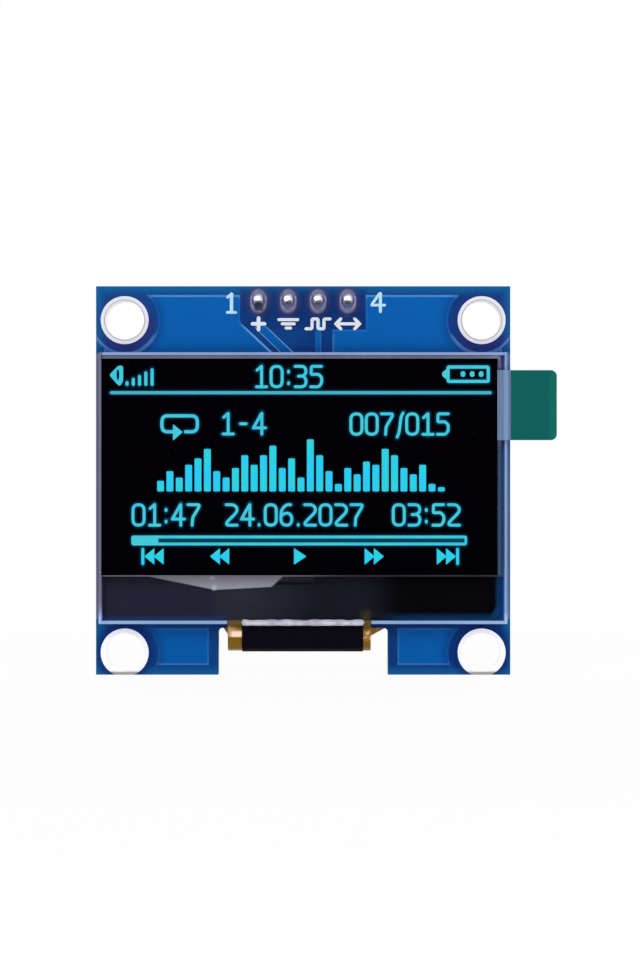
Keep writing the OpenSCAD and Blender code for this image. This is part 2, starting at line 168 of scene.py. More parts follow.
def ribbon(path, halfWidth, surface, rise, closed=False, profile=bandProfile):
    # a band along a path: each point moved sideways along the path's normal by the profile's first row
    # times the half width, and raised by its second row; past an open path's ends the half width
    # falls as a cosine, which rounds them
    path = np.asarray(path, float)
    if closed:
        along = np.roll(path, -1, 0) - np.roll(path, 1, 0)
        centre, width = path, np.full(len(path), halfWidth)
    else:
        along = np.gradient(path, axis=0)
        turn = np.linspace(math.pi / 2, 0, 6)[:-1]
        ends = [along[0] / np.linalg.norm(along[0]), along[-1] / np.linalg.norm(along[-1])]
        first = path[0] - ends[0] * halfWidth * np.sin(turn)[:, None]
        last = path[-1] + ends[1] * halfWidth * np.sin(turn[::-1])[:, None]
        centre = np.concatenate([first, path, last])
        along = np.concatenate([np.tile(along[:1], (5, 1)), along, np.tile(along[-1:], (5, 1))])
        width = np.concatenate([np.cos(turn), np.ones(len(path)), np.cos(turn[::-1])]) * halfWidth
    normal = np.stack([-along[:, 1], along[:, 0]], 1) / np.linalg.norm(along, axis=1)[:, None]
    across, height = np.array(profile, float)
    flat = centre[:, None] + normal[:, None] * (width[:, None] * across)[:, :, None]
    y = np.broadcast_to(surface + rise * height, flat.shape[:2])
    points = np.stack([flat[:, :, 0], y, flat[:, :, 1]], -1).reshape(-1, 3)
    strength = (1 - abs(across)) * (width / halfWidth)[:, None]
    return points, gridFaces(len(centre), len(across), closed), strength.ravel()


def shifted(loop, by):  # every corner moved to the left of its two sides by the same distance
    before, after = loop - np.roll(loop, 1, 0), np.roll(loop, -1, 0) - loop
    left = [np.stack([-side[:, 1], side[:, 0]], 1) / np.linalg.norm(side, axis=1)[:, None]
            for side in (before, after)]
    middle = left[0] + left[1]
    return loop + by * middle / np.sum(middle * left[0], 1)[:, None]


def slab(loops, surface, rise, slope=0.0):
    # a plate: the first loop is its outline, run to the left, the others are holes, run to the right;
    # its upper face is drawn in by the slope
    loops = [np.asarray(loop, float) for loop in loops]
    upper = [shifted(loop, slope) if slope else loop for loop in loops]
    triangles = tessellate_polygon([[Vector((*p, 0)) for p in loop] for loop in upper])
    count = sum(len(loop) for loop in loops)
    points = [np.insert(np.concatenate(level), 1, y, 1)
              for level, y in ((loops, surface), (upper, surface + rise))]
    faces = [tuple(i + count for i in t) for t in triangles] + [tuple(t)[::-1] for t in triangles]
    start = 0
    for loop in loops:
        i = np.arange(len(loop))
        j = (i + 1) % len(loop)
        faces.extend(np.stack([i, j, j + count, i + count], 1) + start)
        start += len(loop)
    return np.concatenate(points), faces


# shader helpers: a colour is given as it shows on a screen, 0 to 255

def tone(colour):  # a link stays as it is, a colour is made linear
    if isinstance(colour, Wire):
        return colour
    shares = np.array(colour) / 255
    linear = np.where(shares <= 0.04045, shares / 12.92, ((shares + 0.055) / 1.055) ** 2.4)
    return (*[float(share) for share in linear], 1.0)


def scaled(colour, by, more=0):
    return tuple(v * by + more for v in colour)


class Wire:  # one socket of a shader; an expression on it adds its Math nodes
    def __init__(self, shader, socket):
        self.shader, self.socket = shader, socket

    def maths(self, operation, *values):
        return self.shader.node("Math", {"operation": operation}, dict(enumerate(values)))

    def __add__(self, other): return self.maths("ADD", self, other)
    def __radd__(self, other): return self.maths("ADD", other, self)
    def __sub__(self, other): return self.maths("SUBTRACT", self, other)
    def __rsub__(self, other): return self.maths("SUBTRACT", other, self)
    def __mul__(self, other): return self.maths("MULTIPLY", self, other)
    def __rmul__(self, other): return self.maths("MULTIPLY", other, self)
    def __truediv__(self, other): return self.maths("DIVIDE", self, other)
    def __pow__(self, other): return self.maths("POWER", self, other)
    def __mod__(self, other): return self.maths("FLOORED_MODULO", self, other)
    def __abs__(self): return self.maths("ABSOLUTE", self)
    def least(self, other): return self.maths("MINIMUM", self, other)
    def most(self, other): return self.maths("MAXIMUM", self, other)


def distance(across, up):
    return (across ** 2.0 + up ** 2.0) ** 0.5


white, black = (255, 255, 255), (0, 0, 0)


class Shader:  # a material's or the world's nodes
    def __init__(self, owner):
        self.owner = owner
        owner.use_nodes = True
        self.tree = owner.node_tree
        self.tree.nodes.clear()

    def node(self, kind, settings=None, values=None, output=0):
        made = self.tree.nodes.new("ShaderNode" + kind)
        for key, setting in (settings or {}).items():
            setattr(made, key, setting)
        for key, value in (values or {}).items():
            if isinstance(value, Wire):
                self.tree.links.new(value.socket, made.inputs[key])
            else:
                made.inputs[key].default_value = value
        return Wire(self, made.outputs[output]) if made.outputs else made

    def seen(self):  # 1 for the rays that find the background plain white
        path = self.node("LightPath").socket.node
        rays = [Wire(self, path.outputs[f"Is {kind} Ray"]) for kind in ("Camera", "Glossy", "Transmission")]
        return rays[0].most(rays[1]).most(rays[2])

    def lit(self, kind, colour, strength=1.0):
        return self.node(kind, values={"Color": tone(colour), "Strength": strength})


class Finish(Shader):  # a material, with the place on it in millimetres, and how far it faces along Y
    def __init__(self, name):
        super().__init__(bpy.data.materials.new(name))
        coords = self.node("TexCoord", output="Object")
        self.place = self.node("VectorMath", {"operation": "SCALE"}, {0: coords, 3: 1000.0})
        self.x, self.y, self.z = self.split(self.place)
        self.facing = self.split(self.node("TexCoord", output="Normal"))[1]

    def split(self, vector):
        parts = self.node("SeparateXYZ", values={0: vector}).socket.node
        return [Wire(self, parts.outputs[i]) for i in range(3)]

    def noise(self, scale, detail=2.0, stretch=None):  # scale is in waves a millimetre
        place = self.place
        if stretch:
            place = self.node("VectorMath", {"operation": "MULTIPLY"}, {0: place, 1: stretch})
        return self.node("TexNoise", values={"Vector": place, "Scale": scale, "Detail": detail})

    def fade(self, value, start, end):  # 0 before the start, 1 past the end, smooth between
        return self.node("MapRange", {"interpolation_type": "SMOOTHSTEP"}, {0: value, 1: start, 2: end})

    def mix(self, share, first, second):
        return self.node("Mix", {"data_type": "RGBA"}, {0: share, 6: tone(first), 7: tone(second)}, 2)

    def over(self, colour, *layers):  # each layer is a share and a colour, laid on what is under it
        for share, layer in layers:
            colour = self.mix(share, colour, layer)
        return colour

    def within(self, left, right, foot, top, soft):  # 1 inside a rectangle in X and Z
        outside = (abs(self.x - (left + right) / 2) - (right - left) / 2).most(
            abs(self.z - (foot + top) / 2) - (top - foot) / 2)
        return self.fade(outside, soft, -soft)

    def bump(self, height, depth, strength):  # depth is in millimetres
        return self.node("Bump", values={"Strength": strength, "Distance": depth / 1000, "Height": height})

    def surface(self, colour, roughness, normal=None, metallic=0.0, level=0.5, glow=None):
        values = {"Base Color": tone(colour), "Roughness": roughness, "Metallic": metallic,
                  "Specular IOR Level": level}
        if normal:
            values["Normal"] = normal
        if glow:
            values.update({"Emission Color": glow, "Emission Strength": 1.0})
        return self.node("BsdfPrincipled", values=values)

    def done(self, surface):
        self.node("OutputMaterial", values={0: surface})
        return self.owner

    def solid(self, *looks, **more):
        return self.done(self.surface(*looks, **more))

    def seeThrough(self, solidShare, solid, tint=white):
        clear = self.node("BsdfTransparent", values={0: tone(tint)})
        return self.done(self.node("MixShader", values={0: solidShare, 1: clear, 2: solid}))


def twoTone(name, waves, first, second, roughness, spread=0.0, bump=None, **more):
    # a plain finish: colour, roughness and height wander with one noise
    f = Finish(name)
    grain = f.noise(*waves)
    return f.solid(f.mix(grain, first, second), roughness + grain * spread if spread else roughness,
                   f.bump(grain, *bump) if bump else None, **more)


def dress(material, *names):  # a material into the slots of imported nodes
    for name in names:
        slots = nodes[name].material_slots
        if not slots:
            nodes[name].data.materials.append(material)
        for slot in slots:
            slot.material = material


# studio

studio = {"cameraAt": (1.44, -150.0, 0.54), "halfHeight": 41.02, "floorRadius": 100.0,
          "floorRings": 12, "floorAround": 64, "floorDrop": 0.02, "cardDrop": 0.01, "roomLight": 0.62,
          "shadowShare": 0.06,
          "cards": (-50, 52, 26, -60, -3),  # left, right, top, near and far
          "lamps": {"key": ((-90, -170, 150), 90, 0.13), "fill": ((140, -120, 60), 120, 0.05),
                    "rim": ((40, 160, 120), 100, 0.1)}}


def makeCamera():
    scene = bpy.context.scene
    camera = placed("camera", bpy.data.cameras.new("camera"))
    camera.location = [v / 1000 for v in studio["cameraAt"]]
    camera.rotation_euler = (math.radians(90), 0, 0)
    camera.data.angle = 2 * math.atan(studio["halfHeight"] / -studio["cameraAt"][1])
    camera.data.clip_start = 0.005
    scene.camera = camera
    scene.view_settings.view_transform = "Standard"


def makeRoom():
    world = Shader(bpy.data.worlds.new("room"))
    bpy.context.scene.world = world.owner
    pale, plain = (world.lit("Background", white, strength) for strength in (studio["roomLight"], 1.0))
    world.node("OutputWorld", values={0: world.node("MixShader", values={0: world.seen(), 1: pale, 2: plain})})

    f = Finish("paleFloor")
    matt = f.surface(f.mix(f.noise(0.8), (240, 240, 240), (250, 250, 250)), 0.9)
    f.done(f.node("MixShader", values={0: f.seen() * (1 - studio["shadowShare"]), 1: matt,
                                       2: f.lit("Emission", white)}))
    foot = cadBox[0][2] * 1000
    rings, around, floorLevel = studio["floorRings"], studio["floorAround"], foot - studio["floorDrop"]
    radius = np.linspace(0, studio["floorRadius"], rings)[:, None]
    turn = fullTurn(around)[None, :]
    points = np.stack([radius * np.cos(turn), radius * np.sin(turn), np.full((rings, around), floorLevel)], -1)
    faces = gridFaces(rings, around).tolist()
    placed("floor", meshOf("floor", points.reshape(-1, 3), faces, f.owner))

    # two dark cards, which only glossy rays see, keep the screen black
    dark = twoTone("darkCard", (0.05,), (5, 5, 8), (8, 8, 12), 1.0, level=0.0)
    left, right, top, near, far = studio["cards"]
    low = foot - studio["cardDrop"]
    cards = {"cardUpright": [(x, near, z) for x, z in corners(left, right, low, top)],
             "cardLying": [(x, y, low) for x, y in corners(left, right, near, far)]}
    for name, points in cards.items():
        card = placed(name, meshOf(name, points, [(0, 1, 2, 3)], dark))
        for ray in ("camera", "diffuse", "transmission", "shadow", "volume_scatter"):
            setattr(card, "visible_" + ray, False)

    for name, (place, size, power) in studio["lamps"].items():
        light = bpy.data.lights.new(name, "AREA")
        light.shape = "DISK"
        light.size = size / 1000
        light.energy = power
        lamp = placed(name, light)
        lamp.location = [v / 1000 for v in place]
        lamp.rotation_euler = (-Vector(place)).to_track_quat("-Z", "Y").to_euler()


makeCamera()
makeRoom()
print("studio made")


# circuit board

board = {"clearance": 2.85, "copperSide": 17.0, "copperTop": 16.35, "copperFoot": -15.28, "notchSide": 8.05,
         "rise": 0.03, "slope": 0.17, "header": (-5.4, 5.35, 13.4), "panelFoot": 10.6, "panelGap": 0.45,
         "aslantBox": (-5.6, 0.2, 10.5, 13.7), "dullBox": (-5.7, 5.7, 13.0, 16.15), "headerTop": 16.9,
         "mask": (10, 74, 148), "maskDeep": (4, 54, 126), "maskEdge": (12, 96, 160),
         "ring": (46, 42, 116), "ringLow": (8, 44, 116), "copper": (0, 101, 186),
         "slopeHighlight": (98, 160, 222), "laminate": (150, 158, 110), "laminateCore": (196, 190, 140)}


def toHoles(f):  # distance from the nearest hole's middle
    gone = [distance(f.x - side, f.z - z) for side in (-holeSide, holeSide) for z in (holeTop, -holeTop)]
    return gone[0].least(gone[1]).least(gone[2]).least(gone[3])


def fromPin(f):  # how far a place is to the right of the nearest pin's middle
    return (f.x + 2 * pinPitch) % pinPitch - pinPitch / 2


def maskFinish(name, overCopper):
    f = Finish(name)
    cloud, speck = f.noise(0.35, 3.0), f.noise(6.0)
    ny = abs(f.facing)
    isFront = f.fade(f.y, back * 0.6, back * 0.4)
    # painted shade: the mask is painted darker just above the panel
    panelTop = glassHigh[2]
    shade = f.fade(f.z, panelTop + 0.95, panelTop + 0.2) * f.fade(f.z, 0, 1) * isFront * 0.35
    nearHole = toHoles(f)
    if overCopper:
        # painted highlight: the sloping edges are painted light, as if they catch the light, most where the
        # copper runs aslant and along its top
        aslant = f.within(*board["aslantBox"], 0.3) * f.fade(f.x + f.z, 7.6, 8.2) * isFront
        along = f.fade(f.z, board["copperTop"] - 0.4, board["copperTop"] - 0.2)
        isLow = f.fade(f.z, 0, -5) * isFront
        byFoot = f.fade(f.z, -14.8, -15.2) * 0.12
        byHole = f.fade(nearHole, 3.2, 3.1) * f.fade(f.z, holeTop - 1.5, holeTop - 0.9).most(isLow)
        dull = f.within(*board["dullBox"], 0.1).most(byHole)
        glint = (0.2 + cloud * 0.16) * (1 - isLow * 0.5) * (1 - dull * 0.8)
        glint = (glint + aslant * 0.75 + along * 0.3 + byFoot).least(1.0)
        colour = f.over(
            f.mix(cloud, board["copper"], (0, 95, 178)),
            (shade, (6, 50, 130)),
            (f.fade(nearHole, 3.9, 2.9) * 0.55 * isFront, (4, 62, 136)),
            (f.fade(ny, 0.997, 0.989) * glint, board["slopeHighlight"]))
        roughness = 0.2 + speck * 0.1
    else:
        edge = (boardHigh[0] - abs(f.x)).least(boardHigh[2] - f.z).least(f.z - boardLow[2])
        # round the holes: strongest under the upper ones, on their inner side, and round the lower ones
        under = f.fade(f.z, holeTop - 0.4, holeTop - 2.2)
        inside = f.fade(f.x, -holeSide + 0.5, -holeSide + 2.0) * f.fade(f.x, 0, -1)
        halo = (under * 0.8).most(inside * f.fade(f.z, holeTop + 1.6, holeTop) * 0.7).most(0.25)
        rim = f.fade(nearHole, 2.68, 2.78) * f.fade(nearHole, 2.96, 2.86)
        lower = f.fade(f.z, holeTop - 1.0, holeTop - 1.7) * f.fade(f.z, 0, 1)
        toPin = distance(abs(fromPin(f)) * 1.25, f.z - pinRow)
        inRow = f.within(*board["header"][:2], pinRow - 1.9, pinRow + 1.9, 0.1)
        up = abs(f.z)
        # painted light: the narrow strips of board beside the glass are painted lighter, as if they catch the
        # light
        litLeftStrip = f.fade(f.x, glassLow[0] + 0.1, glassLow[0]) * f.fade(up, panelTop + 0.1, panelTop - 0.1)
        litRightStrip = f.fade(f.x, glassHigh[0] - 0.1, glassHigh[0]) * f.fade(up, panelTop + 0.3, panelTop - 0.3)
        core = f.mix(f.noise(3.0, 3.0, (0.4, 6.0, 0.4)), board["laminate"], board["laminateCore"])
        side = f.fade(ny, 0.6, 0.4)
        colour = f.over(
            f.mix(f.fade(f.x, -2.0, 1.5) * 0.6, board["mask"], board["maskDeep"]),
            (cloud * 0.5, board["maskDeep"]),
            (f.fade(edge, 1.0, 0.1), board["maskEdge"]),
            (f.fade(nearHole, 3.0, 2.1) * halo * isFront,
             f.mix(f.fade(f.z, -5, 5), board["ringLow"], board["ring"])),
            # painted highlight: a light arc on the copper's edge below each upper hole
            (rim * lower * isFront * 0.6, (120, 150, 215)),
            (f.within(*board["header"], board["headerTop"], 0.3) * 0.5 * isFront, (12, 40, 106)),
            (f.fade(toPin, 1.6, 0.9) * inRow * 0.6, (74, 66, 116)),
            (shade, (14, 34, 104)),
            (litLeftStrip * isFront, f.mix(cloud, (122, 122, 152), (108, 114, 150))),
            (litRightStrip * isFront * 0.8, f.mix(cloud, (96, 128, 172), (120, 142, 180))),
            (side, f.over(core, (f.fade(abs(f.y - (front + back) / 2), 0.5, 0.58), (60, 104, 140)))))
        roughness = 0.22 + speck * 0.1 + side * 0.4
    return f.solid(colour, roughness, f.bump(f.noise(1.2, 3.0), 0.012, 0.3), level=0.12)


def clearAngle(above):  # on the copper's edge round a hole, at a height above the hole's middle, in degrees
    return math.degrees(math.asin(above / board["clearance"]))


sideAngle = math.degrees(math.acos((board["copperSide"] - holeSide) / board["clearance"]))


def makeBoard(overCopper):
    clear, top, side, foot = (board[key] for key in ("clearance", "copperTop", "copperSide", "panelFoot"))
    rise = -board["rise"]
    start = clearAngle(top - holeTop)
    headLeft, headRight, headFoot = board["header"]
    leftPour = np.concatenate([
        [(-side, foot), (-1.7, foot), (-5.3, 13.95), (headLeft, 14.2), (headLeft, top)],
        arc((-holeSide, holeTop), clear, start, -180 + sideAngle, 26)])
    rightPour = np.concatenate([
        [(2.5, foot), (side, foot)],
        arc((holeSide, holeTop), clear, -sideAngle, -180 - start, 26),
        [(headRight, top), (headRight, headFoot), (2.5, headFoot)]])
    lowTop, lowFoot, notch = glassLow[2] - board["panelGap"], board["copperFoot"], -board["notchSide"]
    lowLeft = np.concatenate([
        [(notch, lowFoot), (notch, lowTop)],
        arc((-holeSide, -holeTop), clear, clearAngle(lowTop + holeTop), clearAngle(lowFoot + holeTop), 16)])
    pours = [slab([loop], front, rise, board["slope"])
             for loop in (leftPour, rightPour, lowLeft, lowLeft[::-1] * (-1, 1))]
    traces = [ribbon([(-3.7, 13.65), (-0.5, 10.6)], 0.4, front, rise),
              ribbon([(1.3, 14.0), (1.3, foot)], 0.24, front, rise)]
    makePiece("copperUnderMask", pours + traces, overCopper)


dress(maskFinish("maskOverLaminate", False), "circuit_board")
maskOverCopper = maskFinish("maskOverCopper", True)
makeBoard(maskOverCopper)
print("board made")


# metal, and the header's plastic

def tinFinish(name, colour, roughness, lumps):
    f = Finish(name)
    grain, streak = f.noise(5.0, 3.0), f.noise(1.3)
    tint = f.mix(streak * 0.5, colour, scaled(colour, 0.86))
    return f.solid(tint, roughness + grain * 0.14, f.bump(streak + grain * 0.25, 0.03, lumps), metallic=1.0)


def ringFinish():
    f = Finish("tinnedRing")
    cloud = f.noise(1.2, 3.0)
    nearHole = toHoles(f)
    cutOff = -holeTop - 1.6  # where the board's foot cuts the lower rings
    colour = f.over(
        f.mix(cloud, (250, 250, 255), (238, 240, 255)),
        # painted shade: a grey line just outside the hole's edge on the upper rings
        (f.fade(nearHole, 1.8, 1.75) * f.fade(f.z, -5, 5), (198, 195, 208)),
        (f.fade(nearHole, 1.68, 1.66), (255, 252, 254)),
        (f.fade(f.z, cutOff, cutOff - 0.1), (172, 170, 164)))
    # painted light: the lower rings glow a little, so they look nearly white
    low = f.fade(f.z, -5, -10) * f.fade(f.z, cutOff, cutOff + 0.1) * f.fade(f.y, 0.5, 0.3)
    glow = f.mix(low, black, f.mix(cloud, (150, 146, 154), (132, 132, 146)))
    return f.solid(colour, 0.34 + cloud * 0.1, f.bump(cloud, 0.02, 0.3), metallic=0.05, glow=glow)


dress(ringFinish(), *[f"hole_ring_{i}" for i in range(1, 5)])
dress(tinFinish("tinnedLead", (214, 216, 222), 0.2, 0.4), "flex_pads", "regulator_leads", "diode_leads")
dress(tinFinish("brightSolder", (200, 202, 214), 0.15, 0.6), "flex_solder", "chip_solder")

blob = {"halfWidth": 0.745, "halfHeight": 1.07, "height": 1.38, "domeRadius": 0.6, "fillet": 0.55,
        "rings": 40, "around": 56, "foot": 0.05, "ripple": 0.035, "lift": 0.036, "rimLift": 0.03}


def jointFinish():  # painted highlight near white on the dome over the pin's end, painted shade under it and above; duller down its skirt
    f = Finish("solderJoint")
    across, up = fromPin(f), f.z - pinRow
    away = distance(across, up - 0.1)
    cloud = f.noise(2.6, 3.0)
    skirt = f.fade(away, 0.34, 0.72)
    # painted shade: a dark crescent under the dome, darkest on the first pin, and a darker upper part
    under = f.fade(up, -0.2, -0.45) * f.fade(abs(across), 0.5, 0.25) * f.fade(up, -0.95, -0.7)
    upper = f.fade(up, 0.26, 0.5)
    oval = distance(across / blob["halfWidth"], up / blob["halfHeight"])
    # painted highlight: near white on the dome over the pin's end, greyer round it
    colour = f.over(
        (255, 252, 255),
        (f.fade(away, 0.14, 0.38), f.mix(cloud, (176, 166, 184), (138, 128, 150))),
        (skirt, f.mix(cloud, (176, 180, 222), (136, 142, 184))),
        (under * (0.15 + f.fade(f.x, -2.4, -2.6) * 0.65), (40, 36, 46)),
        (upper * 0.85, (88, 98, 142)),
        (f.fade(oval, 0.84, 1.0) * 0.8, (70, 62, 104)))
    return f.solid(colour, 0.2 + skirt * 0.24 + cloud * 0.08, f.bump(cloud, 0.03, 0.5),
                   metallic=(1 - skirt * 0.75) * (1 - upper * 0.7))


def makeSolderBlobs():
    # height over an oval: the larger of a blunt dome over the pin's end, (1 - r^5)^0.45, and a hollow-sided
    # skirt, (1 - s)^1.6, with s from 0 at the middle to 1 at the rim, pushed about by slow waves
    finish = jointFinish()
    dress(finish, "header_pads")
    rings, around, tall = blob["rings"], blob["around"], blob["height"]
    share = np.linspace(0, 1, rings)[:, None]
    turn = fullTurn(around)[None, :]
    for i, spot in enumerate(pinSpots):
        waves = np.random.default_rng(11 + i).uniform(-1, 1, 6)
        wobble = 1 - 0.03 + 0.03 * np.sin(2 * turn + 3 * waves[0]) * share
        x = share * blob["halfWidth"] * np.cos(turn) * wobble
        z = share * blob["halfHeight"] * np.sin(turn) * wobble
        away = np.sqrt(x ** 2 + z ** 2) / blob["domeRadius"]
        dome = np.clip(1 - away ** 5, 0, 1) ** 0.45 * tall * (1 + 0.05 * waves[1] * x - 0.13 * z)
        swell = 1 + 0.2 * share ** 0.3 * np.sin(2 * turn + 3 * waves[2])
        fillet = blob["fillet"] * (1 - share) ** 1.6 * swell + blob["foot"]
        ripple = blob["ripple"] * np.sin(6 * x + 3 * waves[3]) * np.sin(5 * z + 3 * waves[4])
        height = (dome ** 4 + (fillet + ripple * share * (1 - share) * 3) ** 4) ** 0.25
        height = np.clip(height, 0, tall + 0.02) * (1 - share ** 14)
        points = np.stack([spot[0] + x, front - blob["lift"] - height, spot[2] + z], -1)
        rim = points[-1:] * (1, 0, 1) + (0, front - blob["rimLift"], 0)
        faces = [*gridFaces(rings + 1, around), range(rings * around, (rings + 1) * around)]
        shape = (np.concatenate([points, rim]), faces)
        piece = makePiece(f"solderBlob{i + 1}", [shape], finish, True)
        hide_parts(f"solder_joint_{i + 1}")


def plasticFinish(name, colour, roughness):
    return twoTone(name, (14.0, 3.0), colour, scaled(colour, 1.35, 3), roughness, 0.12, (0.012, 0.5))


makeSolderBlobs()
goldPin = twoTone("goldPin", (9.0, 2.0, (1.0, 0.2, 1.0)), (222, 190, 118), (240, 214, 150), 0.2, 0.15,
                  metallic=1.0)
dress(goldPin, *[f"header_pin_{i}" for i in range(1, 5)])
dress(plasticFinish("headerPlastic", (19, 19, 21), 0.42), "header_base")
dress(plasticFinish("mouldedPlastic", (26, 26, 28), 0.5), "regulator_body", "diode_body")
print("metal made")


# strokes for numbers, in a cell four wide and six high: only the 0 is a closed loop

strokes = {
    "0": [[(0, 0), (0, 6), (4, 6), (4, 0)]],
    "1": [[(2.2, 6), (2.2, 0)], [(0.6, 4.9), (2.0, 5.9)], [(0.4, 0), (4.0, 0)]],
    "2": [[(0.1, 6), (3, 6), (4.1, 4.9), (3.8, 3.7), (0.2, 0.8), (0.2, 0), (4, 0)]],
    "3": [[(0.1, 6), (3.3, 6), (4, 5), (3.9, 3.9), (2.9, 3.15), (1.3, 3.1)],
          [(2.9, 3.15), (4, 2.3), (4, 1), (3.2, 0), (0.1, 0)]],
    "4": [[(3, 0), (3, 6)], [(2.9, 6), (0.1, 2.0)], [(0, 1.8), (4.3, 1.8)]],
    "5": [[(3.9, 6), (0.3, 6), (0.2, 3.6), (2.8, 3.7), (4, 2.8), (4, 1.1), (3, 0), (0.1, 0)]],
    "6": [[(3.5, 6), (1.9, 6), (0.2, 4.4), (0, 1.2), (1, 0), (3.1, 0), (4, 1), (4, 2.5), (3.1, 3.5), (1.3, 3.5),
           (0.1, 2.6)]],
    "7": [[(0, 6), (4, 6), (4, 5.4), (1.7, 2.2), (1.5, 0)]],
    ":": [[(0.7, 0.9), (0.7, 1.2)], [(0.7, 4.3), (0.7, 4.6)]],
    "-": [[(0.3, 3), (2.3, 3)]],
    "/": [[(0.2, -0.8), (0.9, 0.6), (1.6, 5.2), (2.3, 6.2)]],
    ".": [[(0.7, 0), (0.7, 0.2)]]}
narrow = {":": 1.4, "-": 2.6, "/": 2.1, ".": 1.3}  # widths of what isn't four wide
bends = {"0": 2.0, "1": 0.4, "4": 0.4, "5": 0.6, "7": 0.6}  # how far a corner is rounded, in units


def written(text, left, foot, cell, gap):
    # paths for a line of numbers, and whether each is closed: cell is one unit's size across and up
    paths = []
    for letter in text:
        for points in strokes[letter]:
            place = np.array(points, float) * cell + (left, foot)
            paths.append((rounded(place, bends.get(letter, 1.2) * min(cell), letter == "0"), letter == "0"))
        left += narrow.get(letter, 4.0) * cell[0] + gap
    return paths


# white print on the board

marks = {"halfWidth": 0.14, "rise": 0.05, "row": 13.88, "tall": 0.42, "wide": 1.02, "step": 0.002,
         "one": [([(-6.12, 16.4), (-6.12, 14.9)], 0.17), ([(-6.45, 16.16), (-6.18, 16.38)], 0.13),
                 ([(-6.48, 14.86), (-5.78, 14.86)], 0.13)],
         "four": [([(6.6, 14.95), (6.6, 16.45)], 0.15), ([(6.52, 16.45), (5.88, 15.56)], 0.13),
                  ([(5.88, 15.48), (6.95, 15.48)], 0.13)]}


def printFinish():
    f = Finish("whitePrint")
    wear = f.noise(7.0, 3.0)
    colour = f.over(f.mix(wear, (250, 253, 255), (230, 238, 255)),
                    (f.fade(abs(f.x), 5.2, 5.6) * f.fade(f.y, 0.5, 0.3), (196, 236, 255)))
    return f.solid(colour, 0.5 + wear * 0.2, f.bump(wear, 0.01, 0.3), level=0.3)


def makeFrontPrint(finish):
    z, half, tall, w = (marks[key] for key in ("row", "wide", "tall", "halfWidth"))
    lines = marks["one"] + marks["four"]  # plain numbers at the two ends of the header
    # one generic sign under each pin: a plus, three bars, a square wave and a two-way arrow
    plus, bars, wave, arrow = (spot[0] for spot in pinSpots)
    lines += [([(plus - 0.5, z), (plus + 0.5, z)], w * 1.2), ([(plus, z - 0.48), (plus, z + 0.48)], w * 1.2)]
    lines += [([(bars - wide, z + up), (bars + wide, z + up)], w)
              for wide, up in ((0.8, 0.36), (0.5, 0), (0.18, -0.36))]
    steps = [(-half, -tall), (-half / 2, -tall), (-half / 2, tall), (0, tall), (0, -tall), (half / 2, -tall),
             (half / 2, tall), (half, tall)]
    lines += [([(wave + u, z + v) for u, v in steps], w), ([(arrow - half, z), (arrow + half, z)], w)]
    lines += [([(arrow + side * (half - 0.42), z + tall), (arrow + side * half, z),
                (arrow + side * (half - 0.42), z - tall)], w) for side in (-1, 1)]
    parts = [ribbon(rounded(path, 0.1, steps=4), width, front, -marks["rise"]) for path, width in lines]
    makePiece("frontPrint", parts, finish, step=marks["step"])


whitePrint = printFinish()
makeFrontPrint(whitePrint)


# glass panel

flexPoints = np.array([v.co for v in nodes["flex_tail"].data.vertices]) * 1000
flexFoot = flexPoints[:, 2].min()
flexFront = flexPoints[flexPoints[:, 1] < front - 0.5]  # the leg behind the glass
neckLeft, neckRight = flexFront[:, 0].min(), flexFront[:, 0].max()
glass = {"gap": 0.003, "chamfer": 0.25, "left": (114, 114, 138), "top": (152, 174, 222),
         "right": (136, 172, 228), "foot": (178, 212, 255), "overTape": (214, 211, 228)}


def glassFinish():
    f = Finish("frontGlass")
    slant = f.fade(abs(f.facing), 0.97, 0.75)  # the ground chamfers and edges
    foot = glassLow[2]
    low = f.fade(f.z, foot + 0.6, foot + 0.4)
    bareLeft = f.fade(f.x, neckLeft - 0.1, neckLeft) * f.fade(f.x, tapeLow[0] + 0.1, tapeLow[0])
    bareRight = f.fade(f.x, tapeHigh[0], tapeHigh[0] + 0.1) * f.fade(f.x, neckRight + 0.1, neckRight)
    bare = (bareLeft + bareRight) * low
    atLeft = f.fade(f.x, glassLow[0] + 0.4, glassLow[0] + 0.3) * f.fade(f.z, foot + 0.5, foot + 2.0)
    overTape = f.fade(f.x, tapeLow[0], tapeLow[0] + 0.1) * f.fade(f.x, tapeHigh[0], tapeHigh[0] - 0.1) * low
    # painted light: the ground edges take a tone side by side, lightest at the foot and darkest low on the left
    colour = f.over(
        glass["top"],
        (f.fade(f.x, glassHigh[0] - 0.5, glassHigh[0] - 0.3), glass["right"]),
        (f.fade(f.z, foot + 1.2, foot + 0.4), glass["foot"]),
        (atLeft, glass["left"]),
        (overTape, glass["overTape"]),
        (f.noise(3.0, 3.0) * 0.14, (110, 130, 200)))
    shine = f.node("LayerWeight", values={0: 0.06}, output="Fresnel")
    share = (slant * (0.92 - bare * 0.9)).most(shine * (1 - slant) * 0.8)
    return f.seeThrough(share, f.surface(colour, 0.04 + slant * 0.4, level=0.3), (254, 255, 255))


def makeGlass():
    # rings of a plate with its edges cut at 45 degrees: each is the outline, drawn in by its own inset,
    # at its own depth
    gap, cut = glass["gap"], glass["chamfer"]
    near, far = glassLow[1] + gap, glassHigh[1] - gap
    inset = np.array([cut, 0, 0, cut])[:, None]
    depth = np.array([near, near + cut, far - cut, far])[:, None]
    left, right = glassLow[0] + inset, glassHigh[0] - inset
    foot, top = glassLow[2] + inset, glassHigh[2] - inset
    x, z = np.hstack([left, right, right, left]), np.hstack([foot, foot, top, top])
    faces = [*gridFaces(4, 4), range(4), range(12, 16)]
    points = np.stack([x, np.broadcast_to(depth, x.shape), z], -1)
    piece = makePiece("groundGlass", [(points, faces)], glassFinish())
    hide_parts("front_glass")


bead = {"top": glassLow[2] + 0.36, "foot": glassLow[2] - 0.15, "depth": 0.28, "behind": 0.32, "left": 0.02,
        "right": 0.1, "lengths": 90, "around": 20}


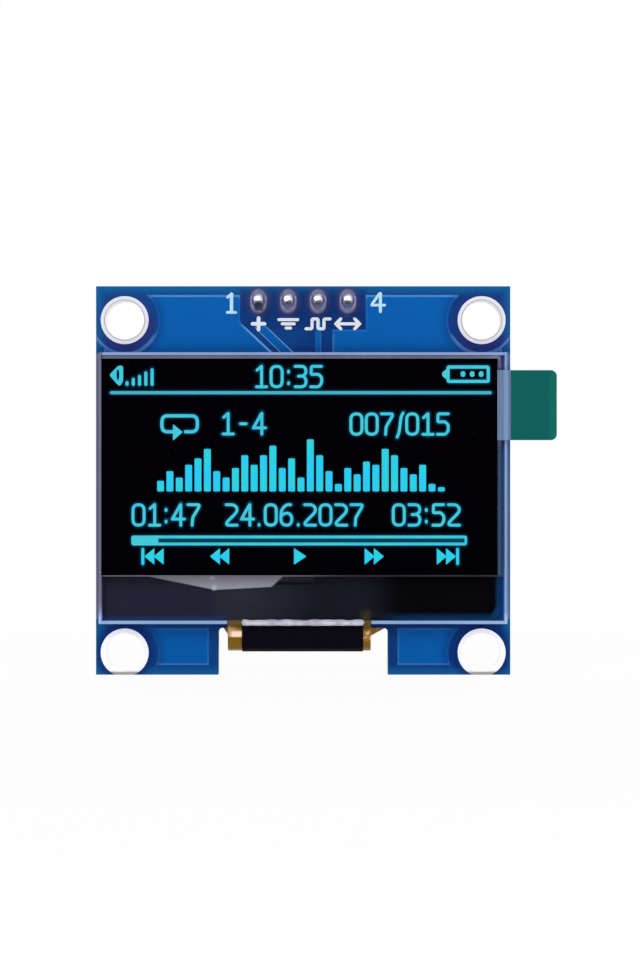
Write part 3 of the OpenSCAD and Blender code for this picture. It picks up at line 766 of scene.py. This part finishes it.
def makeEdgeBead():
    # a lumpy bead of clear glue where the tape meets the glass: an oval section carried along X, its two
    # half sizes falling to nothing at the ends and swelling with slow waves
    draw = np.random.default_rng(5)
    lengths, around = bead["lengths"], bead["around"]
    x = np.linspace(tapeLow[0] - bead["left"], tapeHigh[0] + bead["right"], lengths)[:, None]
    turn = fullTurn(around)[None, :]
    share = np.linspace(-1, 1, lengths)[:, None]
    ends = np.sqrt(np.clip(1 - share ** 60, 0, 1))
    waves = sum(np.sin(x * k + draw.uniform(0, 6)) for k in (1.7, 3.1, 5.3)) / 3
    tall = (bead["top"] - bead["foot"]) / 2 * ends * (1 + 0.14 * waves)
    deep = bead["depth"] * ends * (1 + 0.1 * waves)
    z = (bead["top"] + bead["foot"]) / 2 + tall * np.sin(turn) + 0.02 * waves
    y = glassLow[1] + bead["behind"] + deep * np.cos(turn)
    points = np.stack([np.broadcast_to(x, z.shape), y, z], -1)
    f = Finish("clearGlue")
    cloud = f.noise(1.1, 3.0)
    colour = f.mix(f.fade(cloud, 0.3, 0.6), (188, 185, 204), (232, 229, 242))
    finish = f.solid(colour, 0.3, f.bump(cloud, 0.04, 0.25), level=0.3)
    makePiece("edgeBead", [(points, gridFaces(lengths, around))], finish, True)


ledge = {"left": (40, 42, 56), "middle": (50, 50, 62), "right": (7, 6, 12), "sheenPatch": (174, 171, 182),
         "spot": (218, 216, 226), "spots": ((-7.7, -7.72), (-7.55, -8.6)), "blue": (34, 62, 118),
         "blueEnd": (6, 66, 114), "olive": (70, 66, 42), "tip": (-7.48, -8.78), "tipSlopes": (-0.2022, 0.051),
         "bandRow": -8.22, "reflectionBox": (-2.4, 0.8, -8.0, -7.6), "stainBox": (4.95, 5.7, -11.5, -10.6)}


def ledgeFinish():
    f = Finish("ledgeCoat")
    cloud = f.noise(0.5, 3.0)
    # painted reflection: a pale patch with two bright spots hangs from the cover glass's foot, deepest at its
    # tip, with a dark band at its right and a paler box beside it
    (tipX, tipZ), (slopeLeft, slopeRight) = ledge["tip"], ledge["tipSlopes"]
    sheenFoot = tipZ + ((f.x - tipX) * slopeLeft).most((f.x - tipX) * slopeRight)
    sheenPatch = f.fade(f.z - sheenFoot, -0.05, 0.05) * f.fade(f.x - (f.z + 7.65) * 1.09, -1.6, -1.85)
    fromBand = abs(f.z - ledge["bandRow"]) + (f.x + 2.4) * 0.03
    band = f.fade(fromBand, 0.19, 0.09) * f.fade(f.x, -2.8, -2.4)
    colour = f.over(
        f.mix(cloud, ledge["left"], (40, 38, 60)),
        # painted reflection: the coat is lighter right of x -7.6 and darker towards its right end
        (f.fade(f.x, -7.75, -7.45), f.mix(cloud, ledge["middle"], (40, 40, 54))),
        (f.fade(f.x, -5.0, 2.0) * 0.75, (20, 19, 30)),
        (f.fade(f.x, 5.0, 8.5), ledge["right"]),
        (band * 0.85, (8, 8, 13)),
        (f.within(*ledge["reflectionBox"], 0.3) * 0.5, (70, 70, 80)),
        (sheenPatch, f.mix(cloud, ledge["sheenPatch"], (162, 158, 172))),
        *[(f.fade(distance(f.x - x, f.z - z), 0.34, 0.08) * 0.65, ledge["spot"]) for x, z in ledge["spots"]],
        (f.fade(f.z, -10.8, -11.3) * f.fade(f.x, -6.2, -7.0) * 0.8, ledge["blue"]),
        (f.fade(f.z, -10.6, -11.3) * f.fade(f.x, 5.8, 9.0) * 0.7, ledge["blueEnd"]),
        (f.fade(f.x + f.fade(f.z, -10.0, -11.4) * 0.5, 16.2, 16.66), ledge["blueEnd"]),
        (f.within(*ledge["stainBox"], 0.3) * f.fade(f.noise(3.0), 0.2, 0.6), ledge["olive"]))
    return f.solid(colour, 0.3, level=0.1)


def makeLedge():
    coat = ledgeFinish()
    dress(coat, "ledge_coat")
    # the coat runs on up to the cover glass
    low, high = nodeBox("ledge_coat")
    strip = corners(low[0], high[0], high[2] - 0.002, nodeBox("cover_glass")[0][2] + 0.002)
    makePiece("coatEdge", [slab([strip], high[1], low[1] - high[1] + 0.002)], coat)


def sealFinish():
    f = Finish("curedSeal")
    cloud = f.noise(0.5, 3.0)
    right, top, foot = screenHigh[0], screenHigh[2], screenLow[2]
    byTab = f.fade(f.z, tabLow[2] - 1.0, tabLow[2])
    # painted light: the seal's top is painted as a near-white band, except at its right end
    litTop = f.fade(f.z, top - 0.1, top + 0.05) * f.fade(f.x, 16.9, 16.4)
    colour = f.over(
        f.mix(cloud, (120, 120, 146), (112, 114, 142)),
        (f.fade(f.x, right - 0.1, right), f.mix(byTab, (98, 140, 190), (160, 160, 206))),
        (f.fade(f.x, right + 0.3, right + 0.42), f.mix(byTab, (62, 100, 160), (76, 92, 168))),
        (litTop, f.mix(cloud, (236, 238, 255), (204, 206, 246))),
        (f.fade(f.z, foot + 0.05, foot), f.mix(f.fade(f.x, -2.0, 4.0), (172, 170, 182), (102, 100, 104))))
    return f.solid(colour, 0.5, level=0.2)


def tabFinish():
    f = Finish("pullTape")
    colour = f.over(f.mix(f.noise(0.25, 3.0), (6, 96, 98), (12, 104, 90)),
                    (f.fade(f.x, tabHigh[0] - 1.0, tabHigh[0] - 0.1), (12, 112, 98)))
    wrinkle = f.noise(0.9, 3.0, (1.6, 1.0, 0.4))
    return f.solid(colour, 0.42, f.bump(wrinkle, 0.03, 0.3), level=0.08)


def coverFinish():
    f = Finish("coverGlass")
    frost = f.noise(2.0)
    tinted = f.surface(f.mix(frost, (96, 118, 146), (120, 142, 168)), 0.2)
    return f.seeThrough(0.45 + frost * 0.1, tinted, (190, 210, 225))


film = {"back": 0.04, "right": screenHigh[0] - 0.05}


def makeFilm():  # a thin plate with a tongue at its right that carries the tab
    right = film["right"]
    outline = [(filmLow[0], filmLow[2]), (right, filmLow[2]), (right, tabLow[2]), (filmHigh[0], tabLow[2]),
               (filmHigh[0], tabHigh[2]), (right, tabHigh[2]), (right, filmHigh[2]), (filmLow[0], filmHigh[2])]
    f = Finish("clearFilm")
    edge = f.fade(abs(f.facing), 0.9, 0.5)
    tongue = f.fade(f.x, right - 0.02, right + 0.02)
    streak = f.noise(0.9, 3.0, (2.5, 1.0, 0.25))
    glassEnd = glassHigh[0]
    # painted highlight: a light line on the film over the glass's right edge
    edgeHighlight = f.fade(f.x, glassEnd - 0.4, glassEnd - 0.28) * f.fade(f.x, glassEnd + 0.04, glassEnd - 0.02)
    frosted = f.over(f.mix(streak, (100, 130, 162), (126, 144, 180)), (edgeHighlight * 0.7, (136, 170, 218)))
    shine = f.node("LayerWeight", values={0: 0.05}, output="Fresnel") * 0.3
    share = (edge * 0.5).most(tongue * (0.84 + streak * 0.16)).most(shine)
    surface = f.surface(f.mix(tongue, (112, 112, 124), frosted), 0.16 + tongue * 0.34, level=0.15)
    far = filmHigh[1] - film["back"]
    piece = makePiece("surfaceFilm", [slab([outline], far, filmLow[1] - far)], f.seeThrough(share, surface))
    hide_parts("protective_film")


makeGlass()
makeEdgeBead()
makeLedge()
makeFilm()
dress(coverFinish(), "cover_glass")
dress(sealFinish(), "seal_frame")
dress(tabFinish(), "pull_tab")
dress(twoTone("emitterFilm", (2.0,), (24, 26, 40), (34, 34, 48), 0.3), "emitter_layer")
dress(twoTone("desiccantSheet", (3.0,), (232, 232, 226), (244, 244, 240), 0.8), "desiccant_sheet")
dress(twoTone("blackPolariser", (0.2,), (1, 1, 4), (6, 2, 9), 0.12, level=0.08), "polariser")
dress(twoTone("bareChip", (4.0,), (74, 76, 84), (96, 98, 106), 0.2, metallic=0.8), "driver_chip")
dress(twoTone("foamTape", (8.0, 3.0), (214, 216, 214), (236, 238, 236), 0.9, bump=(0.05, 0.6)), "mounting_tape")
print("panel made")


# what the screen shows

screen = {"left": -16.3, "top": 10.26, "across": 0.2515, "down": 0.269, "surface": screenLow[1] - 0.003,
          "rise": -0.006, "stroke": 0.125, "haze": 0.38, "step": 0.0003, "cell": (0.93, 1.07),
          "low": (72, 206, 218), "high": (62, 198, 228)}


def dots(u, v):  # a place on the screen, counted in dots from its upper left corner
    return screen["left"] + u * screen["across"], screen["top"] - v * screen["down"]


def dotLoop(points):
    return np.array([dots(u, v) for u, v in points])


def glowFinish():
    f = Finish("litDots")
    hue = f.noise(0.5)
    left, across, top, down = (screen[key] for key in ("left", "across", "top", "down"))

    def band(first, last, soft=0.05):  # the rows of dots from the first to the last
        return f.within(-17, 17, top - last * down, top - first * down, soft)

    unfilled = f.within(left + 16.35 * across, left + 119 * across,
                        top - 55.75 * down, top - 54.45 * down, 0.02)
    gapX, gapZ = (abs((place / size) % 1.0 - 0.5) for place, size in ((f.x - left, across), (f.z - top, down)))
    colour = f.over(
        f.mix(f.fade(hue, 0.35, 0.65), screen["low"], screen["high"]),
        (band(24.5, 40.5, 0.2).most(band(57, 64, 0.1)),
         f.mix(f.fade(hue, 0.42, 0.58), (48, 212, 228), (44, 206, 246))),
        (f.fade(gapX.most(gapZ), 0.38, 0.48) * 0.15, (10, 90, 120)),
        (band(8.2, 9.3) * 0.9, (74, 172, 188)),
        (unfilled, (2, 66, 84)))
    return f.solid(black, 0.6, glow=colour, level=0.0)


def hazeFinish():  # the glow round the lit dots, strongest along the middle of each band
    f = Finish("dotHaze")
    strength = f.node("Attribute", {"attribute_name": "strength"}, output="Fac")
    colour = f.mix(f.noise(0.4), (0, 96, 150), (0, 90, 120))
    return f.seeThrough(strength ** 1.4 * 0.42, f.lit("Emission", colour))


def line(parts, points, halfWidth, closed=False, corner=0.2):
    parts.append((rounded(dotLoop(points), corner, closed), halfWidth, closed))


def plate(parts, points, corner=0.06, hole=None):
    loops = [rounded(dotLoop(points), corner, True, 4)] + ([dotLoop(hole)] if hole is not None else [])
    for i, loop in enumerate(loops):
        area = np.sum(loop[:, 0] * np.roll(loop[:, 1], -1) - np.roll(loop[:, 0], -1) * loop[:, 1])
        loops[i] = loop if (area > 0) == (i == 0) else loop[::-1]
    parts.append(loops)


def number(parts, text, u, v, gap=1.5):
    across, down = screen["across"], screen["down"]
    cell = (screen["cell"][0] * across, screen["cell"][1] * down)
    parts += [(path, screen["stroke"], closed)
              for path, closed in written(text, *dots(u, v), cell, gap * across)]


def statusRow(parts):  # a sound sign, its strength, the time, a charge sign, and the rule under them
    turn = fullTurn(16)
    plate(parts, [(-0.2, 3.2), (2.9, 0.2), (4.5, 0.3), (4.5, 5.1), (3.6, 6.6), (2.8, 6.4)], 0.2,
          np.stack([2.75 + 0.45 * np.cos(turn), 3.1 + 1.7 * np.sin(turn)], 1))
    for i, tall in enumerate((0.5, 1.5, 2.4, 3.5, 4.5)):
        line(parts, [(5.8 + 2.1 * i, 6.1), (5.8 + 2.1 * i, 6.1 - tall)], 0.135)
    number(parts, "10:35", 48.9, 6.9)
    line(parts, [(0.6, 8.75), (127.6, 8.75)], 0.135)
    line(parts, corners(113.5, 127.0, 0.7, 5.2), 0.135, True, 0.1)
    plate(parts, [(113.2, 1.2), (113.2, 4.7), (111.5, 3.5), (111.5, 2.4)], 0.12)
    for u in (118.5, 121.6, 124.6):
        plate(parts, corners(u - 0.8, u + 0.8, 2.0, 3.8), 0.2)


def signRow(parts):  # a repeat sign and two counts
    line(parts, [(25.4, 21.0), (28.4, 21.0), (29.4, 20.0), (29.4, 17.0), (28.4, 16.0), (18.4, 16.0),
                 (17.5, 17.0), (17.5, 20.0), (18.4, 21.0), (21.6, 21.0)], 0.14, False, 0.3)
    plate(parts, [(21.2, 18.6), (24.5, 21.1), (21.2, 23.8)], 0.1)
    number(parts, "1-4", 37.7, 21.7, 2.2)
    number(parts, "007/015", 80.9, 21.8, 1.4)


def levelBars(parts):
    heights = (4, 7, 5, 9, 11, 14, 7, 5, 8, 12, 9, 12, 15, 8, 11, 5, 17, 12, 7, 3, 8, 6, 10, 9, 14, 12, 8, 6,
               9, 3, 2)
    for i, tall in enumerate(heights):
        u = 17.05 + 3.14 * i
        plate(parts, corners(u - 1.15, u + 1.15, 39.7, 40.4 - tall), 0.1)
        line(parts, [(u, 39.0), (u, 41.1 - tall)], 0.16)


def timeRow(parts):  # two times, a date, and how far along it is
    for text, u in (("01:47", 7.8), ("24.06.2027", 39.0), ("03:52", 95.1)):
        number(parts, text, u, 50.3)
    line(parts, corners(7.7, 119.4, 54.0, 56.2), 0.12, True, 0.1)
    plate(parts, corners(8.0, 16.3, 54.2, 56.0), 0.03)
    plate(parts, corners(16.4, 119.2, 54.35, 55.85), 0.03)


def keyRow(parts):  # triangles for play, and back and on by a little and by a lot
    head, foot, middle = 57.5, 62.7, 60.1
    plate(parts, [(61.8, head), (66.0, middle), (61.8, foot)])
    for u, way, first in ((33.6, 1, 0), (92.0, -1, 0), (10.6, 1, 1.0), (117.2, -1, 1.0)):
        if first:
            line(parts, [(u + way * 0.5, head + 0.4), (u + way * 0.5, foot - 0.4)], 0.13)
        for start in (first, first + 3.1):
            far = u + way * (start + 3.4)
            plate(parts, [(u + way * start, middle), (far, head), (far, foot)])


def makeScreen():
    glow, haze = glowFinish(), hazeFinish()
    surface, rise, step = screen["surface"], screen["rise"], screen["step"]
    for row in (statusRow, signRow, levelBars, timeRow, keyRow):
        parts = []
        row(parts)
        lit = [slab(part, surface, rise) if isinstance(part, list) else
               ribbon(part[0], part[1], surface, rise, part[2]) for part in parts]
        makePiece(row.__name__, lit, glow, step=step)
        around = [ribbon(part[0], screen["haze"], surface + 0.001, rise / 6, part[2], hazeProfile)
                  for part in parts if not isinstance(part, list)]
        makePiece(row.__name__ + "Haze", around, haze, step=step / 4)


makeScreen()
print("screen made")


# flex tail and tape

tail = {"amber": (140, 102, 14), "olive": (112, 86, 18), "rose": (206, 160, 114), "highlight": (255, 224, 198),
        "foot": (176, 118, 84), "flare": (222, 154, 84)}
lead = {"pitch": 0.62, "count": 30}


def tailFinish():
    f = Finish("amberFlex")
    cloud = f.noise(1.2, 3.0)
    spots = f.fade(f.noise(2.4), 0.5, 0.62)
    runs = abs(((f.x - 0.1) / lead["pitch"]) % 1.0 - 0.5)
    # painted highlights and shade: the fold's front strips are painted in bands of light and dark, which slant
    # across the left strip
    isFront = f.fade(f.y, front + 1.0, front + 0.6)
    slantZ = f.z + (f.x - neckLeft) * 0.28 + cloud * 0.12
    sheenPatch = f.fade(f.z, -12.2, -12.42) * f.fade(f.x, neckLeft + 0.05, neckLeft + 0.5)
    sheenPatch = sheenPatch * f.fade(f.z, -12.86, -12.7) * f.fade(f.x, 0, -1)
    left = f.over(
        f.mix(f.fade(slantZ, -12.0, -11.65), tail["rose"], tail["olive"]),
        (f.fade(f.z, -12.64, -12.86), tail["amber"]),
        (sheenPatch, tail["highlight"]),
        (f.fade(f.z, -13.75, -13.92), tail["foot"]))
    right = f.over(
        tail["olive"],
        (f.fade(f.z, -12.0, -12.4), f.mix(spots, (176, 124, 62), (236, 196, 136))),
        (f.fade(f.z, -12.9, -13.3), tail["amber"]),
        (f.fade(f.z, -13.7, -13.92), tail["foot"]))
    # painted highlight: the flare is lighter, with bright spots, on faces turned to the front
    flare = f.fade(f.y, back - 0.4, back - 0.2) * f.fade(f.z, flexFoot + 2.6, flexFoot + 2.2)
    colour = f.over(
        f.mix(cloud, tail["amber"], (146, 100, 30)),
        (f.fade(runs, 0.2, 0.28) * 0.25, (176, 120, 56)),
        (isFront * f.fade(f.x, tapeLow[0] + 0.3, tapeLow[0]), left),
        (isFront * f.fade(f.x, tapeHigh[0] - 0.3, tapeHigh[0]), right),
        (flare * f.fade(f.facing, 0.2, -0.2), f.mix(spots, tail["flare"], (255, 222, 176))))
    # painted light: the highlight patch on the left strip also glows
    glow = f.mix(sheenPatch * isFront, black, (126, 104, 90))
    return f.solid(colour, 0.3 + cloud * 0.1, f.bump(runs, 0.02, 0.3), level=0.2, glow=glow)


def tapeFinish():
    f = Finish("blackTape")
    weave = f.noise(12.0)
    foot = tapeLow[2]
    colour = f.over(f.mix(f.noise(0.8, 3.0), (12, 11, 21), (17, 16, 28)),
                    (f.fade(f.z, -13.2, -13.7), (5, 5, 9)),
                    (f.fade(f.z, foot + 0.08, foot + 0.02), (60, 58, 66)))
    return f.solid(colour, 0.45 + weave * 0.1, f.bump(weave, 0.01, 0.2), level=0.03)


dress(tailFinish(), "flex_tail")
dress(tapeFinish(), "bend_tape")
print("tail made")


# small parts on the back

smallParts = {"capacitor": (6, (168, 132, 92)), "resistor": (7, (22, 22, 25))}  # how many, and their colour
endCap = 0.32


def endCapFinish(name, node, body):  # tinned at both ends of the part's length
    low, high = nodeBox(node)
    f = Finish(name)
    along, axis = (f.x, 0) if high[0] - low[0] > high[2] - low[2] else (f.z, 2)
    fromEnd = (along - low[axis]).least(high[axis] - along)
    metal = f.fade(fromEnd, endCap + 0.02, endCap - 0.02)
    grain = f.noise(9.0, 3.0)
    colour = f.over(f.mix(grain, body, scaled(body, 0.85)),
                    (metal, f.mix(grain, (206, 208, 214), (180, 182, 190))))
    return f.solid(colour, 0.4 - metal * 0.1 + grain * 0.1, metallic=metal)


for kind, (count, body) in smallParts.items():
    for i in range(1, count + 1):
        dress(endCapFinish(f"{kind}Finish{i}", f"{kind}_{i}", body), f"{kind}_{i}")
print("small parts made")


# copper, vias and print on the back, where x runs to the left

rear = {"pour": 0.02, "track": 0.026, "via": 0.036, "print": 0.05, "slope": 0.12, "trackHalf": 0.13,
        "viaRadius": 0.2, "viaHalf": 0.09, "sideGap": 0.3, "endGap": 0.5, "line": 0.07, "digit": 0.15,
        "shelf": 12.6, "trackStep": -0.0003, "printStep": -0.0004, "bodyGap": 0.3, "digitGap": 0.3,
        "headerGap": 0.25, "corner": 0.08}
padLow, padHigh = nodeBox("flex_pads")
leadTop = padHigh[2] - 0.1


def leadX(i):
    return (padLow[0] + padHigh[0]) / 2 + (i - (lead["count"] - 1) / 2) * lead["pitch"]


def makeRearCopper(finish):
    clear, top, side = board["clearance"], board["copperTop"], board["copperSide"]
    lowFoot, notch, shelf = board["copperFoot"], -board["notchSide"], rear["shelf"]

    def lowPour(inner):  # from the notch's side up the board's side and round the lower hole
        return np.concatenate([
            [(notch, lowFoot), (notch, -11.9)], inner, [(-side, inner[-1][1])],
            arc((-holeSide, -holeTop), clear, 180 - sideAngle, clearAngle(lowFoot + holeTop), 30)])

    topPour = np.concatenate([
        [(-6.5, shelf), (-6.5, top)],
        arc((-holeSide, holeTop), clear, clearAngle(top - holeTop), clearAngle(shelf - holeTop), 24)])
    lowLeft = lowPour([(-9.3, -10.6), (-9.3, -1.0)])
    lowRight = lowPour([(-11.2, -10.2), (-11.2, -0.2), (-13.6, 0.8), (-13.6, 10.9)])[::-1] * (-1, 1)
    pours = [slab([loop], back, rear["pour"], rear["slope"])
             for loop in (topPour, topPour[::-1] * (-1, 1), lowLeft, lowRight)]
    makePiece("rearPours", pours, finish)

    pin = [spot[0] for spot in pinSpots]
    headerFoot = pinRow - 1.3
    fromLeads = [  # a lead's number and the points after it, where 0 is the lead's own x
        (0, [(0, -0.4), (-9.3, 1.1), (-11.0, 1.1)]), (1, [(0, -4.3)]), (2, [(0, -2.2), (-6.4, -1.5)]),
        (3, [(0, -3.7)]), (5, [(0, -2.2), (-4.8, -1.5)]), (7, [(0, 5.6), (-4.9, 7.05), (-4.9, 7.9)]),
        (8, [(0, 5.9), (-2.5, 6.23), (-2.5, 6.8)]), (9, [(0, -2.3), (-2.0, -1.5)]), (10, [(0, -3.7)]),
        (12, [(0, -1.5)]), (14, [(0, 5.0), (pin[2], 5.38), (pin[2], headerFoot)]),
        (15, [(0, 3.6), (2.6, 4.69), (2.6, 12.1), (pin[3], 13.31), (pin[3], headerFoot)]),
        (17, [(0, -2.3), (2.6, -1.6)]), (19, [(0, -2.2), (4.2, -1.6)]), (20, [(0, -4.3)]), (21, [(0, -3.7)]),
        (22, [(0, -1.6)]), (24, [(0, -2.2), (7.4, -1.6)]), (26, [(0, 1.3), (9.7, 2.7)]), (28, [(0, -3.7)])]
    paths = [[(leadX(i), leadTop)] + [(u or leadX(i), v) for u, v in points] for i, points in fromLeads]
    paths += [
        [(2.6, 6.6), (3.8, 7.8)], [(4.2, 9.6), (4.2, 10.4), (4.5, 10.7), (5.9, 10.7), (6.2, 10.4), (6.2, 9.6)],
        [(6.2, 7.6), (7.2, 6.6)], [(-9.2, 10.0), (-9.2, 11.2), (-8.6, 11.8), (-6.2, 11.8), (pin[0], 14.19)],
        [(-8.25, 7.4), (-8.25, 5.2)],
        [(-10.15, 7.4), (-10.15, 6.9), (-10.6, 6.45), (-13.1, 6.45), (-13.6, 6.95), (-13.6, 7.9)],
        [(-0.7, 6.8), (-0.2, 7.3), (-0.2, 8.1), (-0.7, 8.6)],
        [(-2.5, 8.6), (-3.0, 9.1), (-3.0, 12.2), (pin[1], 13.9), (pin[1], headerFoot)],
        [(11.5, 8.4), (12.6, 8.4)], [(9.7, 8.4), (8.6, 7.3), (8.6, 4.0), (9.6, 3.0)],
        [(12.3, 2.8), (12.3, 1.4)]]
    tracks = [ribbon(rounded(path, 0.25, steps=4), rear["trackHalf"], back, rear["track"]) for path in paths]
    makePiece("rearTracks", tracks, finish, step=rear["trackStep"])

    spots = [paths[i][-1] for i in (1, 3, 8, 14, 15, 19, 22, 24, 28, 30)]
    spots += [(-15.6, -2.6), (-11.2, -3.4), (-15.6, -6.4), (-11.0, -8.2), (15.6, -2.6), (12.6, -4.6),
              (15.6, -6.8), (12.8, -9.0), (15.6, 2.4), (15.6, 6.6), (15.2, 9.8)]
    rings = [ribbon(arc(spot, rear["viaRadius"], 0, 345, 24), rear["viaHalf"], back, rear["via"], True)
             for spot in spots]
    makePiece("coveredVias", rings, finish)


def makeRearPrint(finish):
    lines, digit = [], rear["digit"]

    def outline(path, closed=True):
        lines.append((rounded(path, rear["corner"], closed, 4), closed))

    # each small part's outline, with its number above it or below
    for kind, ways in {"capacitor": (1, 1, -1, -1, 1, 1), "resistor": (1, -1, -1, -1, 1, 1, 1)}.items():
        for i, way in enumerate(ways):
            low, high = nodeBox(f"{kind}_{i + 1}")
            isFlat = high[0] - low[0] > high[2] - low[2]
            gapX, gapZ = (rear[gap] for gap in (("endGap", "sideGap") if isFlat else ("sideGap", "endGap")))
            left, right, foot, top = low[0] - gapX, high[0] + gapX, low[2] - gapZ, high[2] + gapZ
            outline(corners(left, right, foot, top))
            base = top + rear["digitGap"] if way > 0 else foot - rear["digitGap"] - 6 * digit
            lines.extend((path * (-1, 1) + ((left + right) / 2, base), closed)
                         for path, closed in written(str(i + 1), -2 * digit, 0, (digit, digit), 0))
    for kind in ("regulator", "diode"):
        body, leads = nodeBox(kind + "_body"), nodeBox(kind + "_leads")
        left, _, foot = np.minimum(body[0], leads[0]) - rear["bodyGap"]
        right, _, top = np.maximum(body[1], leads[1]) + rear["bodyGap"]
        outline(corners(left, right, foot, top))
        mark = [(0.25, 0), (0.25, top - foot)] if kind == "diode" else [(0.4, 0.3), (0.4, 0.34)]
        lines.append((np.array(mark) + (right, foot), False))
    low, high = nodeBox("header_base")
    gap = rear["headerGap"]
    left, right, foot, top = low[0] - gap, high[0] + gap, low[2] - gap, high[2] - 0.3
    outline([(left, top), (left, foot), (right, foot), (right, top)], False)
    parts = [ribbon(path, rear["line"], back, rear["print"], closed) for path, closed in lines]
    makePiece("rearPrint", parts, finish, step=rear["printStep"])


makeRearCopper(maskOverCopper)
makeRearPrint(whitePrint)
print("back made")
